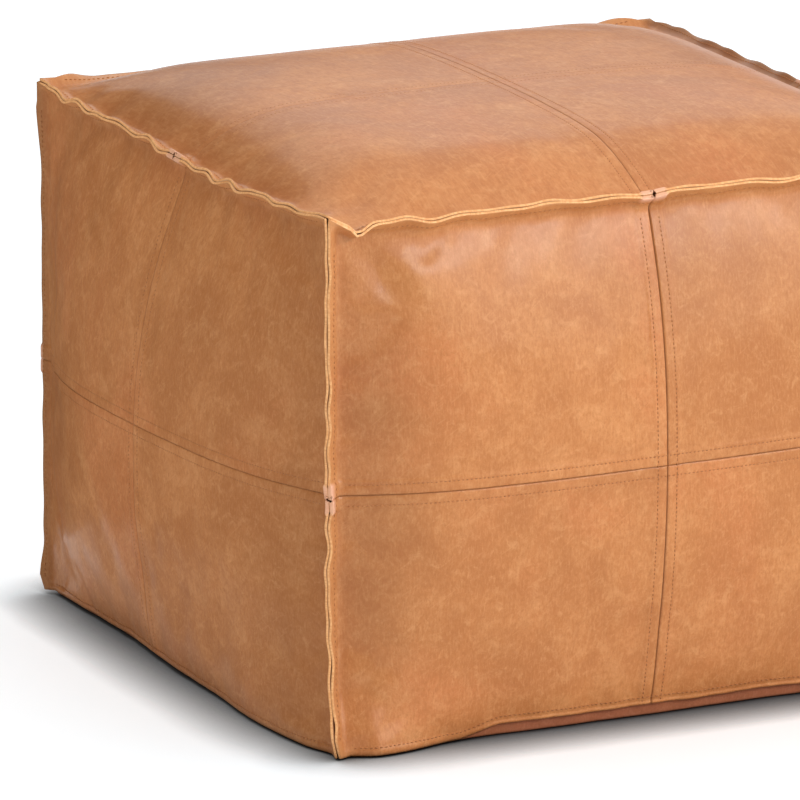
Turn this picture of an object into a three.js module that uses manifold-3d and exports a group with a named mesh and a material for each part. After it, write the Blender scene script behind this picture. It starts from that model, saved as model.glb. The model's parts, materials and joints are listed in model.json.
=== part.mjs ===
// Square stuffed leather pouf. Its cover is five patchwork faces, each of four leather panels, whose
// outer edges are sewn together flesh side to flesh side, so that two raw-edged lips stand out along
// every edge of the box. A leather border turned under the sides frames a canvas base with a zip,
// through which the stuffed inner liner goes in.
// Millimetres, +Z up, origin on the floor at the middle of the base; the front faces -Y.

import * as THREE from "three";
import { mergeVertices } from "three/addons/utils/BufferGeometryUtils.js";
import Module from "manifold-3d";

// Driving dimensions
const SEAM_SIDE = 457; // plan size, from edge seam to edge seam
const SEAM_HEIGHT = 356; // floor to the seam round the top
const SIDE_BULGE = 32; // how far a stuffed side stands out at its middle
const TOP_CROWN = 30;
const SIDE_ROUNDNESS = [3, 2.4]; // powers of the bulge curve, across and up
const TOP_ROUNDNESS = [3.4, 3.4];

const LEATHER = 1.7;
const FOLD = 10; // leather folded back under each panel seam and topstitched flat
const SKIVE = 3; // width over which the fold is pared down to nothing
const PANEL_GAP = 0.4;
const LIP = 12; // raw edge to stitching of the turned-out seams
const LIP_GAP = 0.8; // between the two flesh sides of a lip
const FACE_STEPS = 4; // panel grid between the fold and the edge seam

const BAND_HEIGHT = 10; // border showing below the side panels
const BAND_TUCK = 6; // border hidden behind the side panels
const BAND_SET_BACK = 4;
const BAND_BEND = 8;
const BORDER_REACH = 60; // from the seam plane inwards, under the base
const MITRE_GAP = 0.4;
const BEND_STEPS = 4;

const CANVAS = 1.2;
const CANVAS_LIFT = 2; // underside of the canvas above the floor
const CANVAS_OVERLAP = 15; // canvas sewn on top of the leather border
const HEM_WIDTH = 12;
const HEM_TOP = 5;
const ZIP_SLOT = 14; // width between the two canvas hems

const COIL_LENGTH = 300;
const COIL = { inner: 0.7, outer: 3.2, bottom: 3.2, top: 5, chamfer: 0.5 };
const TAPE = { inner: 1.2, outer: 17, bottom: 5.3, top: 5.8, spare: 24 };
const STOP = { length: 3.5, width: 5.4, bottom: 2.9, top: 5.1, gap: 0.3, chamfer: 0.6 };
const SLIDER = {
  length: 10,
  width: 8.8,
  corner: 1.6,
  outerPlate: [2, 2.9],
  innerPlate: [6.1, 6.9],
  railWidth: 0.7,
  railTop: 4.9,
  postLength: 3,
  postWidth: 0.8,
  bailLength: 5.2,
  bailWidth: 1.2,
  bailFoot: 0.8,
  bailBottom: 0.35,
  bailBar: 0.45,
  endGap: 0.5,
};
const PULL = {
  length: 21,
  width: 6,
  thickness: 0.8,
  axisZ: 1.4,
  crossbar: 0.35,
  windowLength: 5,
  windowWidth: 3,
};

const LINER_INSET = 9;
const LINER = 0.8;
const LINER_FLOOR = 7.5;
const LINER_SLIT = [200, 3];
const FILL_GAP = 0.6;
const STUFFING_STEPS = 8;
const ROUND_SEGMENTS = 16;

// Derived sizes
const HALF = SEAM_SIDE / 2;
const SIDE_MIDDLE = (SEAM_HEIGHT + BAND_HEIGHT) / 2;
const SIDE_HALF_HEIGHT = (SEAM_HEIGHT - BAND_HEIGHT) / 2;
const ZIP_END = COIL_LENGTH / 2;
const SLIDER_X = ZIP_END - SLIDER.length / 2 - SLIDER.endGap; // zip closed

const LOOKS = {
  leather: { color: 0xc9824f, roughness: 0.5, metalness: 0 },
  border: { color: 0xb9744a, roughness: 0.6, metalness: 0 },
  canvas: { color: 0x2b2622, roughness: 0.95, metalness: 0 },
  tape: { color: 0x33291f, roughness: 0.9, metalness: 0 },
  coil: { color: 0x2e241c, roughness: 0.4, metalness: 0 },
  brass: { color: 0x9a7b45, roughness: 0.35, metalness: 1 },
  liner: { color: 0xe8e4da, roughness: 0.9, metalness: 0 },
  fill: { color: 0xf6f5f0, roughness: 0.95, metalness: 0 },
};

const pouf = new THREE.Group();
const wasm = await Module();
wasm.setup();

function place(parent, name, geometry, look) {
  const mesh = new THREE.Mesh(geometry, new THREE.MeshStandardMaterial(LOOKS[look]));
  mesh.name = name;
  parent.add(mesh);
  return mesh;
}

function geometryOf(points, triangles) {
  const geometry = new THREE.BufferGeometry();
  geometry.setAttribute("position", new THREE.Float32BufferAttribute(points.flat(), 3));
  geometry.setIndex(triangles.flat());
  return geometry;
}

// A manifold-3d solid from a closed three.js geometry, and back again.
function solidFrom(geometry) {
  const bare = new THREE.BufferGeometry();
  bare.setAttribute("position", geometry.getAttribute("position"));
  bare.setIndex(geometry.index);
  const merged = mergeVertices(bare, 1e-4);
  return new wasm.Manifold(
    new wasm.Mesh({
      numProp: 3,
      vertProperties: merged.attributes.position.array,
      triVerts: new Uint32Array(merged.index.array),
    }),
  );
}

function geometryFrom(solid) {
  const mesh = solid.getMesh();
  const geometry = new THREE.BufferGeometry();
  geometry.setAttribute("position", new THREE.BufferAttribute(mesh.vertProperties, 3));
  geometry.setIndex(new THREE.BufferAttribute(mesh.triVerts, 1));
  return geometry;
}

function joined(geometries) {
  const solids = geometries.map(solidFrom);
  return geometryFrom(solids.reduce((whole, solid) => whole.add(solid)));
}

// A box given by its lowest and highest corners.
function boxBetween(low, high) {
  const size = high.map((value, axis) => value - low[axis]);
  const middle = high.map((value, axis) => (value + low[axis]) / 2);
  return new THREE.BoxGeometry(...size).translate(...middle);
}

// An outline in Y and Z, extruded along X from one end to the other.
function extrudedAlongX(outline, from, to) {
  const shape = new THREE.Shape(outline.map(([y, z]) => new THREE.Vector2(y, z)));
  const geometry = new THREE.ExtrudeGeometry(shape, { depth: to - from, bevelEnabled: false });
  geometry.applyMatrix4(new THREE.Matrix4().set(0, 0, 1, from, 1, 0, 0, 0, 0, 1, 0, 0, 0, 0, 0, 1));
  return geometry;
}

// A flat plate of a given outline in X and Y, between two heights.
function plate(shape, bottom, top) {
  const depth = top - bottom;
  const options = { depth, bevelEnabled: false, curveSegments: ROUND_SEGMENTS / 4 };
  return new THREE.ExtrudeGeometry(shape, options).translate(0, 0, bottom);
}

// Faces and panels

// A face is flat at its seams and bulges between them. u runs across it and v up it, from its middle.
function bulge(face, u, v) {
  const across = 1 - Math.min(1, Math.abs(u) / face.halfWidth) ** face.roundness[0];
  const up = 1 - Math.min(1, Math.abs(v) / face.halfHeight) ** face.roundness[1];
  return face.rise * across * up;
}

// Grid lines of one panel from the middle seam of its face to its outer edge. A line is on the folded
// margin, on the plain leather, at the root of the lip or at its tip.
function gridLines(half, sign, hasLip) {
  const lines = [
    { at: PANEL_GAP / 2, folded: true },
    { at: FOLD, folded: true },
    { at: FOLD + SKIVE, folded: false },
  ];
  const last = hasLip ? half - FOLD : half - FOLD - SKIVE;
  for (let step = 1; step <= FACE_STEPS; step++) {
    const share = step / FACE_STEPS;
    lines.push({ at: FOLD + SKIVE + share * (last - FOLD - SKIVE), folded: false });
  }
  if (hasLip) {
    lines.push({ place: "root", folded: false }, { place: "tip", folded: false });
  } else {
    lines.push({ at: half - FOLD, folded: true }, { at: half, folded: true });
  }
  const signed = lines.map((line) => ({ ...line, half, sign }));
  return sign > 0 ? signed : signed.reverse();
}

// Where a grid line crosses the face, on the surface that lies `offset` from the middle of the lip and
// `level` above the seam plane.
function lineAt(line, offset, level) {
  if (line.place === "root") return line.sign * (line.half - offset * Math.SQRT2 + level);
  if (line.place === "tip") return line.sign * (line.half + (LIP - offset) / Math.SQRT2);
  return line.sign * line.at;
}

function panelGeometry(face, signU, signV) {
  const hasLipV = signV > 0 || face.lipBelow;
  const columns = gridLines(face.halfWidth, signU, true);
  const rows = gridLines(face.halfHeight, signV, hasLipV);
  const point = (column, row, isGrain) => {
    const thickness = column.folded || row.folded ? 2 * LEATHER : LEATHER;
    const offset = LIP_GAP / 2 + (isGrain ? thickness : 0);
    const level = isGrain ? 0 : -thickness;
    const u = lineAt(column, offset, level);
    const v = lineAt(row, offset, level);
    const lipU = Math.abs(u) - face.halfWidth + offset * Math.SQRT2;
    const lipV = hasLipV ? Math.abs(v) - face.halfHeight + offset * Math.SQRT2 : -Infinity;
    return face.toSpace(u, v, Math.max(bulge(face, u, v) + level, lipU, lipV));
  };
  return closedSheet(columns.length, rows.length, (i, j, isGrain) =>
    point(columns[i], rows[j], isGrain),
  );
}

// A sheet of leather as a closed solid: a grain side and a flesh side on the same grid, and a rim.
function closedSheet(columns, rows, pointAt) {
  const points = [];
  const triangles = [];
  for (const isGrain of [true, false])
    for (let j = 0; j < rows; j++)
      for (let i = 0; i < columns; i++) points.push(pointAt(i, j, isGrain));
  const grain = (i, j) => j * columns + i;
  const flesh = (i, j) => grain(i, j) + columns * rows;
  const quad = (a, b, c, d) => triangles.push([a, b, c], [a, c, d]);
  for (let j = 0; j + 1 < rows; j++)
    for (let i = 0; i + 1 < columns; i++) {
      quad(grain(i, j), grain(i + 1, j), grain(i + 1, j + 1), grain(i, j + 1));
      quad(flesh(i, j), flesh(i, j + 1), flesh(i + 1, j + 1), flesh(i + 1, j));
    }
  for (let i = 0; i + 1 < columns; i++) {
    quad(grain(i, 0), flesh(i, 0), flesh(i + 1, 0), grain(i + 1, 0));
    quad(grain(i + 1, rows - 1), flesh(i + 1, rows - 1), flesh(i, rows - 1), grain(i, rows - 1));
  }
  for (let j = 0; j + 1 < rows; j++) {
    quad(grain(0, j + 1), flesh(0, j + 1), flesh(0, j), grain(0, j));
    quad(
      grain(columns - 1, j),
      flesh(columns - 1, j),
      flesh(columns - 1, j + 1),
      grain(columns - 1, j + 1),
    );
  }
  return geometryOf(points, triangles);
}

const TOP_FACE = {
  halfWidth: HALF,
  halfHeight: HALF,
  rise: TOP_CROWN,
  roundness: TOP_ROUNDNESS,
  lipBelow: true,
  toSpace: (u, v, out) => [u, v, SEAM_HEIGHT + out],
};
const SIDE_FACE = {
  halfWidth: HALF,
  halfHeight: SIDE_HALF_HEIGHT,
  rise: SIDE_BULGE,
  roundness: SIDE_ROUNDNESS,
  lipBelow: false,
  toSpace: (u, v, out) => [u, -HALF - out, SIDE_MIDDLE + v],
};

function addPanels(parent, face, prefix, rowNames) {
  for (const [signV, rowName] of [[-1, rowNames[0]], [1, rowNames[1]]])
    for (const [signU, columnName] of [[-1, "left"], [1, "right"]]) {
      const name = `${prefix}_panel_${rowName}_${columnName}`;
      place(parent, name, panelGeometry(face, signU, signV), "leather");
    }
}

// Leather border: down behind the side panels, round a bend and in under the base. Its ends are mitred
// against the borders of the neighbouring sides.
function borderOutline() {
  const bendMiddle = [BAND_SET_BACK + BAND_BEND, BAND_BEND];
  const arc = (radius) =>
    Array.from({ length: BEND_STEPS + 1 }, (_, step) => {
      const angle = Math.PI + (step / BEND_STEPS) * (Math.PI / 2);
      return [bendMiddle[0] + radius * Math.cos(angle), bendMiddle[1] + radius * Math.sin(angle)];
    });
  const top = BAND_HEIGHT + BAND_TUCK;
  return [
    [BAND_SET_BACK, top],
    ...arc(BAND_BEND),
    [BORDER_REACH, 0],
    [BORDER_REACH, LEATHER],
    ...arc(BAND_BEND - LEATHER).reverse(),
    [BAND_SET_BACK + LEATHER, top],
  ];
}

function borderGeometry() {
  const outline = borderOutline();
  const count = outline.length;
  const points = [-1, 1].flatMap((end) =>
    outline.map(([inwards, z]) => [end * (HALF - inwards - MITRE_GAP), inwards - HALF, z]),
  );
  const flat = outline.map(([inwards, z]) => new THREE.Vector2(inwards, z));
  const triangles = [];
  for (const [a, b, c] of THREE.ShapeUtils.triangulateShape(flat, [])) {
    triangles.push([a, c, b], [a + count, b + count, c + count]);
  }
  for (let i = 0; i < count; i++) {
    const next = (i + 1) % count;
    triangles.push([i, next, next + count], [i, next + count, i + count]);
  }
  return geometryOf(points, triangles);
}

// Canvas base, in two halves with a thick folded hem along the zip

function canvasGeometry(sign) {
  const reach = HALF - BORDER_REACH + CANVAS_OVERLAP;
  const slot = ZIP_SLOT / 2;
  const outline = [
    [slot, CANVAS_LIFT],
    [reach, CANVAS_LIFT],
    [reach, CANVAS_LIFT + CANVAS],
    [slot + HEM_WIDTH, CANVAS_LIFT + CANVAS],
    [slot + HEM_WIDTH, HEM_TOP],
    [slot, HEM_TOP],
  ];
  return extrudedAlongX(outline.map(([y, z]) => [sign * y, z]), -reach, reach);
}

// Zip

function chamferedBar(low, high, chamfer, from, to) {
  const outline = [
    [low[0] + chamfer, low[1]],
    [high[0] - chamfer, low[1]],
    [high[0], low[1] + chamfer],
    [high[0], high[1]],
    [low[0], high[1]],
    [low[0], low[1] + chamfer],
  ];
  return extrudedAlongX(outline, from, to);
}

function coilGeometry(sign) {
  const sides = [sign * COIL.inner, sign * COIL.outer].sort((a, b) => a - b);
  return chamferedBar([sides[0], COIL.bottom], [sides[1], COIL.top], COIL.chamfer, -ZIP_END, ZIP_END);
}

function tapeGeometry(sign) {
  const sides = [sign * TAPE.inner, sign * TAPE.outer].sort((a, b) => a - b);
  const end = ZIP_END + TAPE.spare;
  return boxBetween([-end, sides[0], TAPE.bottom], [end, sides[1], TAPE.top]);
}

// A clamped stop beyond one end of the coils, across the widths from one y to the other.
function stopGeometry(end, fromY, toY) {
  const near = ZIP_END + STOP.gap;
  const ends = [end * near, end * (near + STOP.length)].sort((a, b) => a - b);
  return chamferedBar([fromY, STOP.bottom], [toY, STOP.top], STOP.chamfer, ...ends);
}

function roundedRectangle(length, width, corner) {
  const shape = new THREE.Shape();
  const x = length / 2;
  const y = width / 2;
  shape.moveTo(-x + corner, -y);
  shape.absarc(x - corner, -y + corner, corner, -Math.PI / 2, 0);
  shape.absarc(x - corner, y - corner, corner, 0, Math.PI / 2);
  shape.absarc(-x + corner, y - corner, corner, Math.PI / 2, Math.PI);
  shape.absarc(-x + corner, -y + corner, corner, Math.PI, Math.PI * 1.5);
  return shape;
}

// Two plates round the coils, a post between the rows, side rails, and a bail for the pull.
function sliderGeometry() {
  const outline = roundedRectangle(SLIDER.length, SLIDER.width, SLIDER.corner);
  const [outerBottom, outerTop] = SLIDER.outerPlate;
  const [innerBottom, innerTop] = SLIDER.innerPlate;
  const postX = SLIDER.length / 2 - SLIDER.corner;
  const postY = SLIDER.postWidth / 2;
  const railX = SLIDER.length / 2 - SLIDER.corner;
  const railY = SLIDER.width / 2;
  const bailX = SLIDER.bailLength / 2;
  const bailY = SLIDER.bailWidth / 2;
  const middleOfPlate = (outerBottom + outerTop) / 2;
  const bailFeet = [-1, 1].map((end) => {
    const ends = [end * bailX, end * (bailX - SLIDER.bailFoot)].sort((a, b) => a - b);
    return boxBetween([ends[0], -bailY, SLIDER.bailBottom], [ends[1], bailY, middleOfPlate]);
  });
  const rails = [-1, 1].map((side) => {
    const sides = [side * railY, side * (railY - SLIDER.railWidth)].sort((a, b) => a - b);
    return boxBetween([-railX, sides[0], middleOfPlate], [railX, sides[1], SLIDER.railTop]);
  });
  const bar = boxBetween(
    [-bailX, -bailY, SLIDER.bailBottom],
    [bailX, bailY, SLIDER.bailBottom + SLIDER.bailBar],
  );
  const post = boxBetween(
    [postX - SLIDER.postLength, -postY, middleOfPlate],
    [postX, postY, (innerBottom + innerTop) / 2],
  );
  return joined([
    plate(outline, outerBottom, outerTop),
    plate(outline, innerBottom, innerTop),
    post,
    ...rails,
    bar,
    ...bailFeet,
  ]);
}

// A flat tab with a window at the slider's end, whose crossbar turns inside the bail. Its own frame has
// the hinge axis along Y at the origin, and it reaches along -X.
function pullGeometry() {
  const half = PULL.thickness / 2;
  const outline = roundedRectangle(PULL.length, PULL.width, PULL.width / 3);
  const tab = plate(outline, -half, half).translate(-PULL.length / 2, 0, 0);
  const window = boxBetween(
    [-PULL.windowLength, -PULL.windowWidth / 2, -PULL.thickness],
    [PULL.width, PULL.windowWidth / 2, PULL.thickness],
  );
  const squareEnd = boxBetween(
    [-PULL.width / 3, -PULL.width / 2, -PULL.thickness],
    [PULL.width, PULL.width / 2, PULL.thickness],
  );
  const armWidth = (PULL.width - PULL.windowWidth) / 2;
  const arms = [-1, 1].map((side) => {
    const sides = [(side * PULL.windowWidth) / 2, side * (PULL.windowWidth / 2 + armWidth)];
    sides.sort((a, b) => a - b);
    return boxBetween([-PULL.width / 2, sides[0], -half], [0, sides[1], half]);
  });
  const round = (radius) => new THREE.CylinderGeometry(radius, radius, PULL.width, ROUND_SEGMENTS);
  const knuckle = solidFrom(round(half)).subtract(solidFrom(window));
  const body = solidFrom(tab).subtract(solidFrom(squareEnd));
  const withArms = arms.reduce((whole, arm) => whole.add(solidFrom(arm)), body);
  return geometryFrom(
    withArms.subtract(solidFrom(window)).add(knuckle).add(solidFrom(round(PULL.crossbar))),
  );
}

// Stuffing

// The box inside the cover, `inset` behind its faces, on a grid over its six sides.
function stuffedBox(inset, floor) {
  const grid = new THREE.BoxGeometry(2, 2, 2, STUFFING_STEPS, STUFFING_STEPS, STUFFING_STEPS);
  grid.deleteAttribute("normal").deleteAttribute("uv");
  const whole = mergeVertices(grid);
  const position = whole.getAttribute("position");
  const half = HALF - inset;
  const top = SEAM_HEIGHT - inset;
  for (let i = 0; i < position.count; i++) {
    const [x, y, z] = [position.getX(i), position.getY(i), position.getZ(i)];
    const level = floor + ((z + 1) / 2) * (top - floor);
    const swellX = Math.abs(x) === 1 ? x * bulge(SIDE_FACE, y * half, level - SIDE_MIDDLE) : 0;
    const swellY = Math.abs(y) === 1 ? y * bulge(SIDE_FACE, x * half, level - SIDE_MIDDLE) : 0;
    const swellZ = z === 1 ? bulge(TOP_FACE, x * half, y * half) : 0;
    position.setXYZ(i, x * half + swellX, y * half + swellY, level + swellZ);
  }
  return whole;
}

function linerGeometry() {
  const [slitLength, slitWidth] = LINER_SLIT;
  const outside = solidFrom(stuffedBox(LINER_INSET, LINER_FLOOR));
  const inside = solidFrom(stuffedBox(LINER_INSET + LINER, LINER_FLOOR + LINER));
  const slit = boxBetween(
    [-slitLength / 2, -slitWidth / 2, LINER_FLOOR - 1],
    [slitLength / 2, slitWidth / 2, LINER_FLOOR + LINER + 1],
  );
  return geometryFrom(outside.subtract(inside).subtract(solidFrom(slit)));
}

// Assembly

addPanels(pouf, TOP_FACE, "top", ["front", "back"]);
["front", "right", "back", "left"].forEach((name, turn) => {
  const side = new THREE.Group();
  side.rotation.z = (turn * Math.PI) / 2;
  addPanels(side, SIDE_FACE, name, ["lower", "upper"]);
  place(side, `base_border_${name}`, borderGeometry(), "border");
  pouf.add(side);
});
for (const [sign, name] of [[-1, "front"], [1, "back"]]) {
  const sides = [sign * COIL.inner, (sign * STOP.width) / 2].sort((a, b) => a - b);
  place(pouf, `base_canvas_${name}`, canvasGeometry(sign), "canvas");
  place(pouf, `zip_tape_${name}`, tapeGeometry(sign), "tape");
  place(pouf, `zip_coil_${name}`, coilGeometry(sign), "coil");
  place(pouf, `zip_top_stop_${name}`, stopGeometry(1, ...sides), "brass");
}
place(pouf, "zip_bottom_stop", stopGeometry(-1, -STOP.width / 2, STOP.width / 2), "brass");
place(pouf, "zip_slider", sliderGeometry(), "brass").position.set(SLIDER_X, 0, 0);
place(pouf, "zip_pull", pullGeometry(), "brass").position.set(SLIDER_X, 0, PULL.axisZ);
const fillInset = LINER_INSET + LINER + FILL_GAP;
place(pouf, "inner_liner", linerGeometry(), "liner");
place(pouf, "fill_core", stuffedBox(fillInset, LINER_FLOOR + LINER + FILL_GAP), "fill");

export default pouf;
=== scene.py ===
import json
import math

import bpy
import numpy as np
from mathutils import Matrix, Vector

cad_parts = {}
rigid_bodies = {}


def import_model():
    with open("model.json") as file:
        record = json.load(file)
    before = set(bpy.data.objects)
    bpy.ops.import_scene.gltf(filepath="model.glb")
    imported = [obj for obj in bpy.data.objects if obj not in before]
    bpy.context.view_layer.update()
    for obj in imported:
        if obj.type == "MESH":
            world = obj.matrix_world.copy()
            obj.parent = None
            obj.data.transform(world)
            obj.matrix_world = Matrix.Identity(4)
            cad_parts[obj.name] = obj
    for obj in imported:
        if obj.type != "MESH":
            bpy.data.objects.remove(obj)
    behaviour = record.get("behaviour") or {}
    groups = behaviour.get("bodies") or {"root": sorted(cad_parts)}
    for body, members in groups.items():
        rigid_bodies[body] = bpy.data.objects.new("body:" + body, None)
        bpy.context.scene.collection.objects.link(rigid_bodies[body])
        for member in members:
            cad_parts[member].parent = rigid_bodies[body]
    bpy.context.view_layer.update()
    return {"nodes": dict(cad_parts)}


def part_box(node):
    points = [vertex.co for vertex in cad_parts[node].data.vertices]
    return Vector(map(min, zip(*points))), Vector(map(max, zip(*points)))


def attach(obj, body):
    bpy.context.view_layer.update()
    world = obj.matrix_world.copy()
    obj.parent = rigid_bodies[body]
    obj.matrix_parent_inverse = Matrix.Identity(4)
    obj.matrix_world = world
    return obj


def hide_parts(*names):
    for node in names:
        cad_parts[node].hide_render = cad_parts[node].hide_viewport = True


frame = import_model()

# A stuffed leather pouf. Lengths are in millimetres and turn into metres when a mesh is made.
MM = 0.001
SEED = 7
UP = np.array([0.0, 0.0, 1.0])
SQRT2 = math.sqrt(2)

# ---- sizes that the CAD part sets ----
LEATHER = 1.7
LIP = 12.0
LIP_GAP = 0.8


def box_mm(node):
    """Lowest and highest corner of a CAD node, in millimetres."""
    low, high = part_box(node)
    return np.array(low) / MM, np.array(high) / MM


CORNER_LOW, CORNER_HIGH = box_mm("front_panel_upper_right")
LIP_REACH = (LIP - LIP_GAP / 2) / SQRT2
HALF = CORNER_HIGH[0] - LIP_REACH
TOP = CORNER_HIGH[2] - LIP_REACH
MIDDLE = CORNER_LOW[2]
SIDE_RISE = -CORNER_LOW[1] - HALF
CROWN = box_mm("top_panel_front_right")[1][2] - TOP
ABOVE = TOP - MIDDLE

# ---- leather, seams and lips ----
GROOVE_GAP = 0.06
WALL_DROPS = (1.9, 0.8, 0.0)
STITCH_ROW = 7.0
STITCH_PITCH = 3.0
STITCH_LENGTH = 2.2
THREAD = 0.36
THREAD_SUNK = 0.4
ROW_STEP = 1.5
HEM_ROW = 6.0
HEM_PITCH = 3.4
LIP_ROW = 5.0
LIP_PITCH = 3.6
CANVAS_PITCH = 3.2
NEAR_SEAM = (0.3, 0.55, 0.9, 1.4, 2.0, 2.8, 4.0, 5.4, 6.4, 7.0, 7.6, 8.6, 9.6, 10.8, 12.5, 15.5, 19.5)
FACE_STEP = 4.0
EDGE_START = 7.0
LIP_START = 3.2
FILLET_STEPS = 5
LIP_STEPS = 4
PROFILE = FILLET_STEPS + LIP_STEPS
JOINT_HALF = 9.5
LIP_OPEN = 0.42
BROAD_REACH = 85.0
LOCAL_REACH = 30.0
FOOT_RISE = 80.0
# How far from its ends each habit of a seam fades in.
CALM = dict(sag=42.0, sag_end=14.0, rough=30.0, dip=10.0, lean=45.0, swing=40.0, turn=9.0, trim=20.0,
            spread=25.0, sway=24.0, pucker=20.0)
LEAN_LIMIT = 43.0
# The puckers beside a seam: how soon they rise and how far they reach. Creases keep off the seams.
PUCKER_RISE = 5.0
PUCKER_REACH = 11.0
CREASE_ROOM = 16.0
# Across a panel seam: (height, half width) of each feature.
VALLEY = (-0.75, 22.0)
RIDGE_HEIGHT, RIDGE_EDGE, RIDGE_SLOPE = 0.75, 11.0, 3.4
ROW_DENT = (-0.3, 0.9)
GROOVES = ((-0.35, 1.2), (-0.5, 0.5))
ROW_BOOST = 1.8


def smooth(x):
    """0 to 1 with a soft start and end."""
    t = np.clip(x, 0, 1)
    return t * t * (3 - 2 * t)


def bump(x, centre, width):
    return np.exp(-(((x - centre) / width) ** 2))


def unit(v):
    return v / np.maximum(np.linalg.norm(v, axis=-1, keepdims=True), 1e-9)


def slide_share(s, low, high):
    """1 at the middle seam and 0 at both ends."""
    share = np.where(s < 0, s / low, s / high)
    return (1 - np.minimum(1, np.abs(share))) * (1 + np.minimum(1, np.abs(share)))


class Ripple:
    """A smooth random wave along a line: a sum of sines with periods round the given one."""

    def __init__(self, seed, period, height, parts=5):
        rng = np.random.default_rng(SEED * 1000 + seed)
        self.rates = 2 * math.pi / (period * rng.uniform(0.8, 1.5, parts))
        self.phases = rng.uniform(0, 2 * math.pi, parts)
        weights = rng.uniform(0.5, 1.0, parts)
        self.weights = height * weights / np.sqrt((weights**2).sum() / 2)

    def __call__(self, s):
        s = np.asarray(s, float)
        return (self.weights * np.sin(s[..., None] * self.rates + self.phases)).sum(-1)


# ---- the seams where two faces of the box meet ----
class Edge:
    """One raw-edged seam: where its root runs, and how its lip leans, waves and widens."""

    def __init__(self, seed, start, along, low, high, n1, n2, reach, sag=0.0, wave=1.2, period=32.0,
                 lean=0.0, swing=4.0, dips=(), flops=(), hollows=(), mouth=None, slide=0.0, wide=LIP,
                 fade=BROAD_REACH, kick=(0.0, 0.0), trim=0.25, rough=0.45, taper=26.0):
        self.start, self.along, self.low, self.high = start, along, low, high
        self.n1, self.n2 = n1, n2
        self.reach_low, self.reach_high = reach
        self.sag, self.lean, self.slide, self.wide = sag, lean, slide, wide
        self.dips, self.flops, self.hollows, self.mouth = dips, flops, hollows, mouth
        self.fade, self.taper, self.kick = fade, taper, np.array([*kick, 0.0])
        self.wave = Ripple(seed, period, wave)
        self.swing = Ripple(seed + 100, 3.1 * period, swing)
        self.pucker = Ripple(seed + 200, 0.45 * period, 0.14)
        self.root = Ripple(seed + 300, 1.3 * period, rough)
        self.spread = Ripple(seed + 400, 1.2 * period, 0.2)
        self.trim = (Ripple(seed + 500, 0.9 * period, trim), Ripple(seed + 600, 0.9 * period, trim))

    def calm(self, s, room):
        """1 along the seam and 0 at both of its ends."""
        return smooth((s - self.low) / room) * smooth((self.high - s) / room)

    def down(self):
        """The direction in which this seam sags: down on the top seams, inwards on the upright ones."""
        return -UP if self.n2 is UP else -(self.n1 + self.n2) / SQRT2

    def broad(self, s):
        deep = self.sag * self.calm(s, CALM["sag"])
        for place, width, depth in self.hollows:
            deep = deep + depth * bump(s, place, width)
        return (deep * self.calm(s, CALM["sag_end"]))[..., None] * self.down()

    def local(self, s):
        deep = self.root(s) * self.calm(s, CALM["rough"])
        for place, width, depth in self.dips:
            deep = deep + depth * bump(s, place, width)
        return (deep * self.calm(s, CALM["dip"]))[..., None] * self.down()

    def slid(self, s):
        """The panel seam doesn't meet every edge at its middle: places slide along the edge round it."""
        return self.slide * slide_share(s, self.low, self.high)

    def kicked(self, s):
        """The foot of an upright seam steps outwards where the full cover rests on the floor."""
        return ((1 - smooth((s - self.low) / FOOT_RISE)) ** 1.5)[..., None] * self.kick

    def point(self, s):
        s = np.asarray(s, float)
        straight = self.start + (s + self.slid(s))[..., None] * self.along
        return straight + self.broad(s) + self.local(s) + self.kicked(s)

    def lean_at(self, s):
        """How far the lip leans from the bisector towards the first face, in radians."""
        degrees = self.lean * self.calm(s, CALM["lean"])
        degrees = degrees + self.swing(s) * self.calm(s, CALM["swing"])
        for place, width, angle in self.flops:
            degrees = degrees + angle * bump(s, place, width)
        return np.radians(np.clip(degrees, -LEAN_LIMIT, LEAN_LIMIT) * self.calm(s, CALM["turn"]))

    def width_at(self, s, first):
        full = self.wide + self.trim[0 if first else 1](s) * self.calm(s, CALM["trim"])
        low = smooth((s - self.low) / self.taper)
        high = smooth((self.high - s) / self.taper)
        width = self.reach_low * SQRT2 + (full - self.reach_low * SQRT2) * low
        return self.reach_high * SQRT2 + (width - self.reach_high * SQRT2) * high

    def opening(self, s):
        """Room between the two layers at the lip's tip."""
        gap = LIP_OPEN + np.maximum(self.spread(s), -0.25) * self.calm(s, CALM["spread"])
        if self.mouth:
            place, width, depth = self.mouth
            gap = gap + depth * bump(s, place, width)
        return gap * (1 - 0.45 * bump(s, 0, JOINT_HALF))

    def frame_at(self, s):
        """The lip's direction, and the direction across it towards the first face."""
        angle = math.pi / 4 + self.lean_at(s)[..., None]
        along_lip = np.cos(angle) * self.n2 + np.sin(angle) * self.n1
        across = np.cos(angle) * self.n1 - np.sin(angle) * self.n2
        return along_lip, across

    def layer(self, s, share, first, out):
        """A point on one face's layer: a share of the lip's width from its root, out from the mid plane."""
        along_lip, across = self.frame_at(s)
        width = self.width_at(s, first)
        t = share * width
        sway = self.wave(s) * self.calm(s, CALM["sway"]) * share**1.4
        side = 1.0 if first else -1.0
        half_gap = 0.14 + 0.5 * (self.opening(s) - 0.28) * share
        off = sway + side * (half_gap + out)
        return self.point(s) + along_lip * t[..., None] + across * off[..., None]


def thickness_at(s):
    """Two thicknesses of leather where a panel seam's folded edges reach the lip."""
    return LEATHER * (1 + 0.75 * smooth((JOINT_HALF + 1.5 - np.abs(s)) / 2.5))


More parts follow.
